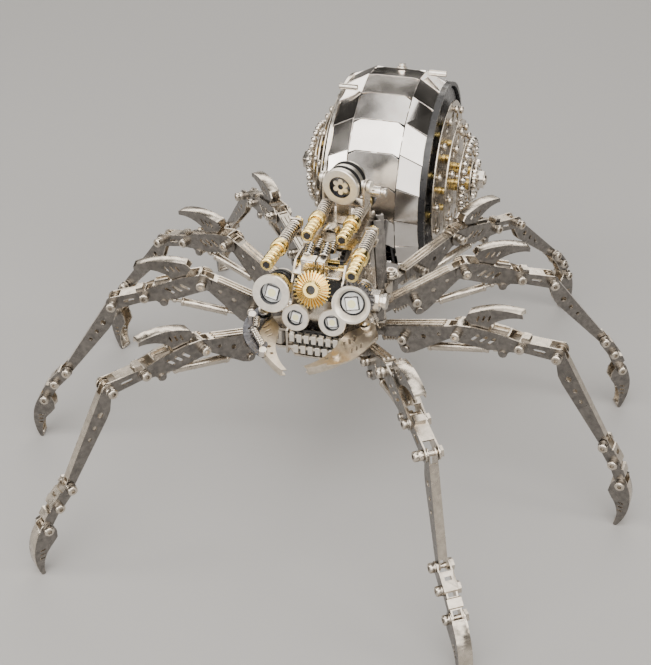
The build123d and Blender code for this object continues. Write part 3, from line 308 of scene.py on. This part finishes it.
def tint(node, material, test):
    """Gives a second material to the faces of a CAD node whose middle, in millimetres, passes a test."""
    mesh = NODES[node].data
    mesh.materials.append(material)
    turn = NODES[node].matrix_world
    for face in mesh.polygons:
        if test((turn @ face.center) / MM):
            face.material_index = 1


# ---------------------------------------------------------------- mesh helpers, in millimetres

QUARTER_Y = Matrix.Rotation(math.radians(90), 4, "Y")
BACK_QUARTER_Y = Matrix.Rotation(math.radians(-90), 4, "Y")
POLE = 0.12  # the radius of a ball's flat poles, as a share of its own


def aim(start, end):
    """The matrix whose +X runs from start towards end, in millimetres, with +Z as upright as it can be."""
    start, end = Vector(start), Vector(end)
    along = (end - start).normalized()
    side = Vector((0, 0, 1)).cross(along).normalized()
    turn = Matrix((along, side, along.cross(side))).transposed().to_4x4()
    return Matrix.Translation(start) @ turn


def tilted(start, tilt):
    """The matrix at a start whose +X runs straight back and down by an angle."""
    x, y, z = start
    return aim(start, (x, y + math.cos(tilt), z - math.sin(tilt)))


def shift(x=0.0, y=0.0, z=0.0):
    return Matrix.Translation((x, y, z))


def circle(shape, place, x, radius, segments):
    """New vertices in a circle about +X of the place, at a distance x along it."""
    turns = [2 * math.pi * i / segments for i in range(segments)]
    spots = [Vector((x, radius * math.cos(turn), radius * math.sin(turn))) for turn in turns]
    return [shape.verts.new(place @ spot) for spot in spots]


def bridge(shape, rings, closed=False):
    """Joins neighbouring rings of vertices with faces; closed also joins the last to the first."""
    following = rings[1:] + rings[:1] if closed else rings[1:]
    for first, second in zip(rings, following):
        for i in range(len(first)):
            j = (i + 1) % len(first)
            shape.faces.new((first[i], first[j], second[j], second[i]))


def cap(shape, rings):
    """Closes both ends of a row of rings."""
    shape.faces.new(rings[0][::-1])
    shape.faces.new(rings[-1])


def lathe(shape, place, profile, segments=32):
    """Adds a solid turned body: (x, radius) points along +X of the place."""
    rings = [circle(shape, place, x, radius, segments) for x, radius in profile]
    bridge(shape, rings)
    cap(shape, rings)


def hoop(shape, place, profile, segments=96):
    """Adds a ring about +X of the place; the closed (x, radius) profile stays clear of the axis."""
    rings = [circle(shape, place, x, radius, segments) for x, radius in profile]
    bridge(shape, rings, closed=True)


def stepped(steps, cut=0.12):
    """The lathe profile of a row of (length, radius) steps with small chamfers."""
    profile, x = [], 0.0
    for length, radius in steps:
        profile += [(x, radius - cut), (x + cut, radius)]
        x += length
        profile += [(x - cut, radius), (x, radius - cut)]
    return profile


def prism(shape, place, outline, low, high):
    """Adds a closed plate: an outline in the place's X and Y, between two heights."""
    rings = [[shape.verts.new(place @ Vector((x, y, z))) for x, y in outline] for z in (low, high)]
    bridge(shape, rings)
    cap(shape, rings)


def polygon(sides, radius):
    """The corners of a regular polygon."""
    turns = [2 * math.pi * i / sides for i in range(sides)]
    return [(radius * math.cos(t), radius * math.sin(t)) for t in turns]


def gear_outline(teeth, radius, root):
    """The outline of a gear with blunt, tapered teeth."""
    points = []
    for i in range(teeth):
        for part, r in ((-0.36, root), (-0.16, radius), (0.16, radius), (0.36, root)):
            angle = 2 * math.pi * (i + part) / teeth
            points.append((r * math.cos(angle), r * math.sin(angle)))
    return points


def block(shape, place, size):
    """Adds a box about a place."""
    half_x, half_y, half_z = (value / 2 for value in size)
    corners = [(-half_x, -half_y), (half_x, -half_y), (half_x, half_y), (-half_x, half_y)]
    prism(shape, place, corners, -half_z, half_z)


def coil(shape, place, length, radius, wire, turns, steps=18, segments=8):
    """Adds a closed helical wire along +X of the place."""
    count = int(turns * steps)
    rings = []
    for i in range(count + 1):
        angle = 2 * math.pi * i / steps
        centre = Vector((length * i / count, radius * math.cos(angle), radius * math.sin(angle)))
        outward = Vector((0, math.cos(angle), math.sin(angle)))
        ring = []
        for k in range(segments):
            turn = 2 * math.pi * k / segments
            offset = outward * math.cos(turn) * wire + Vector((math.sin(turn) * wire, 0, 0))
            ring.append(shape.verts.new(place @ (centre + offset)))
        rings.append(ring)
    bridge(shape, rings)
    cap(shape, rings)


def ball(shape, place, radius, segments):
    """Adds a closed ball as a lathe body with tiny flat poles."""
    profile = []
    for i in range(1, segments // 2):
        angle = math.pi * i / (segments // 2)
        profile.append((-radius * math.cos(angle), radius * math.sin(angle)))
    profile = [(-radius, POLE * radius)] + profile + [(radius, POLE * radius)]
    lathe(shape, place, profile, segments)


def piece(name, shape, material, body, smooth=35.0, bevel=0.0):
    """Turns a bmesh drawn in millimetres into a finished object that rides on a body."""
    shape.transform(Matrix.Scale(MM, 4))
    bmesh.ops.recalc_face_normals(shape, faces=shape.faces)
    mesh = bpy.data.meshes.new(name)
    shape.to_mesh(mesh)
    shape.free()
    mesh.materials.append(material)
    made = bpy.data.objects.new(name, mesh)
    bpy.context.scene.collection.objects.link(made)
    mesh.shade_smooth()
    mesh.set_sharp_from_angle(angle=math.radians(smooth))
    if bevel:
        soften(made, bevel)
    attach(made, body)
    return made


# ---------------------------------------------------------------- nozzles and springs

NOZZLE_ENDS = {
    "outer": ((16.2, -50.5, 106.4), (15.0, -12.0, 104.8)),
    "inner": ((6.8, -29.5, 108.2), (7.4, 9.0, 105.8)),
}
NOZZLE_LENGTH = 16.8
SPRING_LENGTH = 14.9
SPRING_CORE_R = 1.6
SPRING_WIRE = 0.34
NOZZLE_WASHER = (0.8, 2.7)
ROD_TAIL = (6.3, 1.1)
STUDS = ((-4.8, 103.6, 1.8), (1.65, 104.3, 2.2))  # each one's x, height and rise towards the back
STUD_FRONT = -35.9
STUD_BACK = -30.0
STUD_CORE = (6.2, 1.3)
STUD_RING = (0.85, 1.8)
STUD_RINGS = 5
STUD_PITCH = 1.2
SHORT_X = 2.7
SHORT_CORE = (5.6, 1.0)


def nozzle_frame(row, side):
    """The matrix of one nozzle: +X runs back from its mouth along its rod."""
    (x0, y0, z0), (x1, y1, z1) = NOZZLE_ENDS[row]
    return aim((side * x0, y0, z0), (side * x1, y1, z1))


def rod(shape, place, length, radius):
    """Adds a plain rod along +X of the place."""
    lathe(shape, place, [(0.0, radius), (length, radius)])


def springs():
    """The nozzle rods with wound springs and washers, and the studs and short springs between them."""
    wires, rods, washers = bmesh.new(), bmesh.new(), bmesh.new()
    for row in NOZZLE_ENDS:
        for side in BOTH_SIDES:
            place = nozzle_frame(row, side)
            coil(wires, place @ shift(NOZZLE_LENGTH + 0.6), SPRING_LENGTH - 0.8, 2.25, SPRING_WIRE, 8.5)
            rod(rods, place @ shift(NOZZLE_LENGTH), SPRING_LENGTH, SPRING_CORE_R)
            lathe(washers, place @ shift(NOZZLE_LENGTH + SPRING_LENGTH), stepped([NOZZLE_WASHER, ROD_TAIL]))
    for x, z, rise in STUDS:
        stud = aim((x, STUD_FRONT, z), (x, STUD_BACK, z + rise))
        for step in range(STUD_RINGS):
            lathe(washers, stud @ shift(STUD_PITCH * step), stepped([STUD_RING]))
        rod(rods, stud, *STUD_CORE)
    for side in BOTH_SIDES:
        short = aim((side * SHORT_X, -24.4, 103.7), (side * SHORT_X, -30.0, 103.0))
        coil(wires, short @ shift(0.3), 5.2, 1.45, 0.3, 4.5)
        rod(rods, short, *SHORT_CORE)
    made = piece("spring_wires", wires, STEEL, "chassis", 60.0)
    piece("spring_rods", rods, DARK, "chassis")
    piece("spring_washers", washers, BOLT_STEEL, "chassis")
    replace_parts(made, "nozzle_springs")


# ---------------------------------------------------------------- lamps

BIG_EYE = (15.5, -49.0, 93.0)
SMALL_EYE = (7.2, -46.0, 81.6)
EYE_TILT = math.radians(14.0)
LAMPS = ((BIG_EYE, 3.2, 4.1, 4.6), (SMALL_EYE, 2.4, 3.0, 3.6))  # eye, depth, board radius, chip width
CHIP_TWIST = 12
BOARD_THICKNESS = 0.8
PAD_SIZE = (0.7, 0.9, 0.16)
PAD_X = 1.12  # the pads' places, as shares of half the chip's width
PAD_Y = 0.55
LIGHT_R = 0.34
CUPS = ((BIG_EYE, 4.75), (SMALL_EYE, 3.45))  # eye, and a radius just outside its cup's inner wall
CUP_DEPTH = (0.4, 4.0)
CUP_LEAST_R = 1.0


def eye_frame(eye, side):
    """The matrix of one eye: +X runs back from the front of its housing."""
    x, y, z = eye
    return tilted((side * x, y, z), EYE_TILT)


def in_cup(at):
    """Whether a place is on the inner wall of a lamp's cup, where dark steel is painted as shade."""
    side = 1 if at.x > 0 else -1
    for eye, reach in CUPS:
        local = eye_frame(eye, side).inverted() @ at
        if CUP_DEPTH[0] < local.x < CUP_DEPTH[1] and CUP_LEAST_R < math.hypot(local.y, local.z) < reach:
            return True
    return False


def lamps():
    """Each lamp: a white board with solder pads, a square chip frame and a pale round light."""
    boards, pads, frames, chips, lights = (bmesh.new() for _ in range(5))
    for eye, depth, radius, chip in LAMPS:
        for side in BOTH_SIDES:
            face = eye_frame(eye, side) @ shift(depth) @ BACK_QUARTER_Y
            face = face @ Matrix.Rotation(math.radians(CHIP_TWIST * side), 4, "Z")
            prism(boards, face, polygon(40, radius), 0.0, BOARD_THICKNESS)
            half = chip / 2
            for corner_x in BOTH_SIDES:
                for corner_y in BOTH_SIDES:
                    spot = face @ shift(corner_x * half * PAD_X, corner_y * half * PAD_Y, 0.85)
                    block(pads, spot, PAD_SIZE)
            block(frames, face @ shift(0, 0, 0.95), (chip + 0.7, chip + 0.7, 0.5))
            block(chips, face @ shift(0, 0, 1.35), (chip - 0.2, chip - 0.2, 0.9))
            prism(lights, face, polygon(32, chip * LIGHT_R), 1.75, 1.95)
    made = piece("lamp_boards", boards, LAMP_BOARD, "chassis", bevel=0.08)
    piece("lamp_pads", pads, BOLT_STEEL, "chassis", bevel=0.05)
    piece("lamp_frames", frames, DARK, "chassis")
    piece("lamp_chips", chips, LAMP_CHIP, "chassis", bevel=0.12)
    piece("lamp_lights", lights, LAMP_LIGHT, "chassis")
    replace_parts(made, "eye_lamps")


# ---------------------------------------------------------------- head details

NUT_BRIDGE_Y = -38.2
BLOCK_NUTS = ((-3.4, 5.6), (1.6, 3.4))  # x and width
CROSS_SHAFT_HALF = 9.2
HEAD_GEARS = ((-5.2, -25.0, 92.0, 6.4, 20), (4.6, -17.0, 90.0, 7.0, 22))  # place, radius and teeth
GEAR_SHAFT_HALF = 9.3
CROWN = (0.0, -48.0, 96.6)
CROWN_TILT = math.radians(26.0)
CROWN_TEETH = 30
CROWN_BORE_R = 1.75
# the radii of the black plugs of painted shade in the crown gear's bore and in the nozzle mouths
BORE_R = 1.65
MOUTH_PLUG_R = 1.3
TRIM_POSTS = ((17.8, 72.4, 82.1), (-22.0, 76.2, 79.6))  # x, foot and top
TRIM_POST_Y = -39.6


def head_details():
    """The block nuts, cross shaft and gears that fill the head behind the crown gear."""
    blocks, shafts, gears = bmesh.new(), bmesh.new(), bmesh.new()
    block(blocks, shift(0, NUT_BRIDGE_Y, 98.2), (18.4, 6.0, 0.8))
    for x, width in BLOCK_NUTS:
        block(blocks, shift(x, NUT_BRIDGE_Y, 101.5), (width, 4.2, 5.8))
        block(blocks, shift(x, -40.0, 102.6), (width - 1.4, 1.2, 2.4))
    cross = aim((-CROSS_SHAFT_HALF, -32.0, 96.0), (CROSS_SHAFT_HALF, -32.0, 96.0))
    lathe(shafts, cross, stepped([(3.0, 2.4), (12.4, 1.2), (3.0, 2.4)]))
    for x, y, z, radius, teeth in HEAD_GEARS:
        prism(gears, shift(x, y, z) @ QUARTER_Y, gear_outline(teeth, radius, radius - 1.1), -0.8, 0.8)
        shaft = aim((-GEAR_SHAFT_HALF, y, z), (GEAR_SHAFT_HALF, y, z))
        lathe(shafts, shaft, stepped([(2 * GEAR_SHAFT_HALF, 1.1)]))
    piece("head_blocks", blocks, BOLT_STEEL, "chassis", bevel=0.2)
    piece("head_shafts", shafts, BRASS, "chassis")
    piece("head_gears", gears, DARK, "chassis", bevel=0.1)


def crown_wheel():
    """The brass crown gear with straight teeth cut across its coned face."""
    place = tilted(CROWN, CROWN_TILT)
    hub = [(-0.3, 3.2), (-0.7, 2.9), (-0.7, CROWN_BORE_R)]
    crests = [(3.0, CROWN_BORE_R), (3.0, 6.2), (2.2, 7.2), (0.8, 7.3), (-0.2, 3.7)] + hub
    roots = [(3.0, CROWN_BORE_R), (3.0, 5.9), (2.3, 6.2), (1.9, 6.3), (0.5, 3.7)] + hub
    shape = bmesh.new()
    steps = 4 * CROWN_TEETH
    rings = []
    for crest, root in zip(crests, roots):
        ring = []
        for i in range(steps):
            along, radius = crest if i % 4 < 2 else root
            angle = 2 * math.pi * i / steps
            spot = Vector((along, radius * math.cos(angle), radius * math.sin(angle)))
            ring.append(shape.verts.new(place @ spot))
        rings.append(ring)
    bridge(shape, rings, closed=True)
    made = piece("crown_wheel", shape, BRASS, "crown_gear", 20.0)
    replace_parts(made, "crown_gear")


def head_shade_sheets():
    """Black sheets behind the mouth and inside the head, and dark plugs in the crown gear and nozzles:
    painted shade standing in for the shadow in those hollows.
    """
    sheets, bore = bmesh.new(), bmesh.new()
    block(sheets, shift(0, -43.9, 70.0), (17.6, 0.5, 10.4))
    block(sheets, shift(0, -38.9, 84.0), (17.6, 0.5, 24.0))
    block(sheets, shift(0, -22.0, 79.0), (16.0, 24.0, 15.0))
    # a black plug of painted shade in the crown gear's bore
    lathe(bore, tilted(CROWN, CROWN_TILT) @ shift(0.6), [(0.0, BORE_R), (1.6, BORE_R)], 24)
    for row in NOZZLE_ENDS:
        for side in BOTH_SIDES:
            mouth = nozzle_frame(row, side) @ shift(-0.08)
            lathe(sheets, mouth, [(0.0, MOUTH_PLUG_R), (0.6, MOUTH_PLUG_R)], 20)
    piece("head_shade_sheets", sheets, BLACK, "chassis")
    piece("crown_bore_shade_plug", bore, BLACK, "crown_gear")


def band(core, radius, width):
    """The lathe profile of a plain band around a housing, from inside its wall to the band's own radius."""
    return [(0.0, core), (0.0, radius), (width, radius), (width, core)]


def eye_details():
    """Striped barrel on the right eye, teeth and rings behind the left bell, a sprocket and two posts."""
    gold, black, steel_parts, dark = (bmesh.new() for _ in range(4))
    housing_r, stripe_pitch = 4.8, 2.6
    right = eye_frame(BIG_EYE, -1)
    for i in range(4):
        lathe(gold if i < 2 else black, right @ shift(4.4 + stripe_pitch * i), band(housing_r, 5.7, 1.3))
        lathe(black, right @ shift(5.75 + stripe_pitch * i), band(housing_r, 5.4, 1.2))
    left = eye_frame(BIG_EYE, 1)
    prism(dark, left @ shift(5.2) @ QUARTER_Y, gear_outline(26, 7.3, 6.1), 0.0, 2.0)
    for i in range(3):
        lathe(steel_parts, left @ shift(8.4 + 2.4 * i), band(housing_r, 5.6, 1.4))
    hub = aim((10.4, -38.0, 89.5), (26.0, -38.0, 89.5))
    lathe(steel_parts, hub, stepped([(9.0, 1.4), (1.2, 2.6), (3.6, 4.2), (1.2, 2.6), (1.4, 3.2)]), 9)
    prism(steel_parts, hub @ shift(8.4) @ QUARTER_Y, gear_outline(12, 4.6, 3.6), -0.6, 0.6)
    for x, low, high in TRIM_POSTS:
        block(steel_parts, shift(x, TRIM_POST_Y, (low + high) / 2), (2.0, 1.4, high - low))
    piece("barrel_brass", gold, BRASS, "chassis")
    piece("barrel_black", black, BLACK, "chassis")
    piece("eye_trim", steel_parts, BOLT_STEEL, "chassis")
    piece("bell_teeth", dark, DARK, "chassis", bevel=0.08)


# ---------------------------------------------------------------- right jaw

JAW_PIVOT = (21.0, -44.0, 78.0)
JAW_TIP = (1.5, -61.5, 70.0)
JAW_FRAME = aim(JAW_PIVOT, JAW_TIP)
JAW_BACK = JAW_FRAME.inverted()
JAW_OPEN = math.radians(12.0)
SHIELD_AT = 2.0
ROLLER_Z = 4.7
ROLLERS = (((3.4, 3.8), (7.4, 5.6), 4), ((8.8, 6.8), (16.6, 5.8), 7))  # start, end and ribs
ROLLER_RIB = [(0.8, 1.35), (0.35, 0.95)]
ROLLER_BOLTS = ((19.4, 6.6), (1.6, 5.2))


def on_shield(at):
    """Whether a place on the right jaw is above the plane where its outer shield begins."""
    return (JAW_BACK @ Vector((-at.x, at.y, at.z))).z > SHIELD_AT


def jaw_details():
    """The ribbed rollers and their bolts on the right jaw's dark shield."""
    rollers = bmesh.new()
    mirror = Matrix.Diagonal((-1.0, 1.0, 1.0, 1.0))
    jaw = mirror @ JAW_FRAME @ Matrix.Rotation(JAW_OPEN, 4, "Z")
    for (x0, y0), (x1, y1), count in ROLLERS:
        lathe(rollers, jaw @ aim((x0, y0, ROLLER_Z), (x1, y1, ROLLER_Z)), stepped(ROLLER_RIB * count))
    for x, y in ROLLER_BOLTS:
        lathe(rollers, jaw @ aim((x, y, 2.5), (x, y + 0.01, 5.6)), stepped([(3.1, 1.5)]))
    piece("jaw_rollers", rollers, BOLT_STEEL, "right_jaw")


# ---------------------------------------------------------------- legs

LINKS = ("hip_arm", "thigh", "strut", "shin", "foot")
SIDED_LINKS = ("hip_arm", "thigh", "shin", "foot")
PLATE_GAP = 0.4  # side plates lie between these distances from a link's middle
PLATE_REACH = 4.6
SIDEWAYS = 0.85


def node_middle(node):
    """The mean place of a node's vertices, in metres."""
    made = NODES[node]
    places = [made.matrix_world @ vertex.co for vertex in made.data.vertices]
    return sum(places, Vector()) / len(places)


def shade_sides(leg):
    """Paints shade on the outer side faces of a leg's links: a darker steel than its straps, edges and
    screws.
    """
    hip, toe = (node_middle(f"{leg}_{link}") for link in ("hip_arm", "foot"))
    side = Vector((0, 0, 1)).cross(toe - hip).normalized()
    for link in SIDED_LINKS:
        made = NODES[f"{leg}_{link}"]
        mesh, turn = made.data, made.matrix_world
        across = [(turn @ vertex.co).dot(side) / MM for vertex in mesh.vertices]
        middle = (min(across) + max(across)) / 2
        mesh.materials.append(SIDE_SHADE_STEEL)
        for face in mesh.polygons:
            lean = (turn.to_3x3() @ face.normal).normalized().dot(side)
            offset = (turn @ face.center).dot(side) / MM - middle
            if abs(lean) > SIDEWAYS and PLATE_GAP < abs(offset) < PLATE_REACH and lean * offset > 0:
                face.material_index = 1


# ---------------------------------------------------------------- abdomen

DRUM_Y = 83.8
DRUM_Z = 80.0
DRUM_R = 45.7
DRUM_SIDES = 20
TILE_STEP = 360 / DRUM_SIDES
SEAM_X = 11.2
RIM_R = 41.9
TUBES = ((13.5, 21.5, 100), (-21.5, -13.5, 74))  # start and end along the axle, and angle
TOP_BOLT_ANGLE = 108
DARK_DISC = (20.0, 22.3)
ROTOR_BALLS = 30
BALL_RING_R = 17.4
BALL_R = 1.5
BALL_RING_X = 34.9
TOOTHED_X = 38.4
HEX_NUT_X = 40.4


def on_drum(x, radius, degrees):
    """A place on the drum: local Z points outwards and X along the axle; 0 degrees faces forwards."""
    lean = Matrix.Rotation(math.radians(90 - degrees), 4, "X")
    return shift(x, DRUM_Y, DRUM_Z) @ lean @ shift(0, 0, radius)


def tile_ties():
    """The small tabs that join neighbouring mirror plates across their gaps."""
    tabs = bmesh.new()
    apothem = DRUM_R * math.cos(math.radians(TILE_STEP / 2))
    for i in range(DRUM_SIDES):
        if i < DRUM_SIDES - 2:
            block(tabs, on_drum(0, DRUM_R - 0.5, TILE_STEP * i), (2.4, 1.0, 0.5))
        for side in BOTH_SIDES:
            block(tabs, on_drum(side * SEAM_X, apothem - 0.35, TILE_STEP * (i + 0.5)), (1.0, 1.8, 0.5))
    piece("tile_ties", tabs, MIRROR, "abdomen", bevel=0.06)


def rim_band(shape, x_inner, x_outer, wall):
    """Adds a plain hoop about the drum's axle."""
    profile = [(x_inner, RIM_R - wall), (x_inner, RIM_R), (x_outer, RIM_R), (x_outer, RIM_R - wall)]
    hoop(shape, shift(0, DRUM_Y, DRUM_Z), profile)


def abdomen_details():
    """Rim hoops, two short rim tubes and the bolt on the drum's top."""
    bright, dark = bmesh.new(), bmesh.new()
    rim_band(bright, -21.9, -20.8, 1.3)
    rim_band(dark, 20.8, 23.4, 1.8)
    for start, end, degrees in TUBES:
        lathe(bright, on_drum(start, DRUM_R + 0.4, degrees), stepped([(end - start, 1.3)]))
    lathe(bright, on_drum(0, DRUM_R, TOP_BOLT_ANGLE) @ BACK_QUARTER_Y, stepped([(0.8, 2.4), (1.4, 1.7)]))
    piece("rim_bright", bright, BOLT_STEEL, "abdomen")
    piece("rim_dark", dark, BLACK, "abdomen")


def rotor_details():
    """The chain of balls, the toothed ring and the hex nut on each side of the rotor."""
    balls, rings = bmesh.new(), bmesh.new()
    centre = shift(0, DRUM_Y, DRUM_Z)
    for side in BOTH_SIDES:
        for i in range(ROTOR_BALLS):
            turn = Matrix.Rotation(2 * math.pi * i / ROTOR_BALLS, 4, "X")
            ball(balls, centre @ turn @ shift(side * BALL_RING_X, BALL_RING_R), BALL_R, 14)
        prism(rings, centre @ shift(side * TOOTHED_X) @ QUARTER_Y, gear_outline(18, 9.0, 7.6), -0.6, 0.6)
        prism(rings, centre @ shift(side * HEX_NUT_X) @ QUARTER_Y, polygon(6, 4.4), -1.6, 1.6)
    piece("rotor_balls", balls, BOLT_STEEL, "rotor", 60.0)
    piece("rotor_gears", rings, BOLT_STEEL, "rotor", bevel=0.1)


# ---------------------------------------------------------------- turret

TURRET = (0.0, -7.0, 118.0)
TURRET_YAW = math.radians(10.0)
TURRET_FRAME = aim(TURRET, (math.sin(TURRET_YAW), -7.0 + math.cos(TURRET_YAW), 118.0))
TURRET_BACK = TURRET_FRAME.inverted()
RECESS_DEPTH = (0.05, 1.9)
RECESS_FLOOR = 1.4
RECESS_WALL_R = (3.6, 4.7)
SCREW_HOLE_R = 1.2
RUBBER_RINGS = ((2.2, 2.3), (6.2, 2.5))  # start and width
RUBBER_R = 7.45
RUBBER_EDGE_R = 7.0
RUBBER_BORE_R = 6.1
RUBBER_ROUNDING = 0.4
SIDE_POST = ((9.8, 1.5, 113.5), (15.5, 1.5, 113.5))
KNURLED_CAP_AT = 36.9


def in_recess(at):
    """Whether a place is on the wall or floor of the recess in the turret's face, where dark steel is
    painted as shade.
    """
    local = TURRET_BACK @ at
    reach = math.hypot(local.y, local.z)
    hollow = reach < SCREW_HOLE_R or reach > RECESS_WALL_R[0] or local.x > RECESS_FLOOR
    return RECESS_DEPTH[0] < local.x < RECESS_DEPTH[1] and hollow and reach < RECESS_WALL_R[1]


def turret_details():
    """The turret's thick rubber rings, and the side post and knurled cap beside it."""
    rings = bmesh.new()
    for start, width in RUBBER_RINGS:
        front = [(0.0, RUBBER_BORE_R), (0.0, RUBBER_EDGE_R), (RUBBER_ROUNDING, RUBBER_R)]
        back = [(width - RUBBER_ROUNDING, RUBBER_R), (width, RUBBER_EDGE_R), (width, RUBBER_BORE_R)]
        hoop(rings, TURRET_FRAME @ shift(start), front + back)
    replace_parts(piece("rubber_rings", rings, RUBBER, "turret", 50.0), "turret_rings")
    post, knurl = bmesh.new(), bmesh.new()
    lathe(post, aim(*SIDE_POST), stepped([(4.6, 2.2), (1.2, 1.4), (1.0, 1.8)]))
    face = nozzle_frame("inner", 1) @ shift(KNURLED_CAP_AT) @ QUARTER_Y
    prism(knurl, face, gear_outline(28, 3.1, 2.85), 0.0, 3.0)
    piece("turret_post", post, BOLT_STEEL, "chassis")
    piece("knurled_cap", knurl, DARK, "chassis", bevel=0.05)


# ---------------------------------------------------------------- the scene

aim_camera()
studio()
for node_name, finish in FINISHES.items():
    dress(node_name, finish)
for leg in LEGS:
    for link in LINKS:
        dress(f"{leg}_{link}", STEEL)
tint("right_jaw", DARK, on_shield)
tint("rotor_discs", DARK, lambda at: DARK_DISC[0] < abs(at.x) < DARK_DISC[1])
# painted shade on the inner walls of the lamp cups
tint("eye_housings", DARK, in_cup)
# painted shade on the wall and floor of the turret's recess
tint("turret_housing", DARK, in_recess)
# painted shade on the outer side faces of the legs
for leg in LEGS:
    shade_sides(leg)
springs()
lamps()
head_details()
crown_wheel()
# black sheets and plugs of painted shade in the head
head_shade_sheets()
eye_details()
jaw_details()
tile_ties()
abdomen_details()
rotor_details()
turret_details()
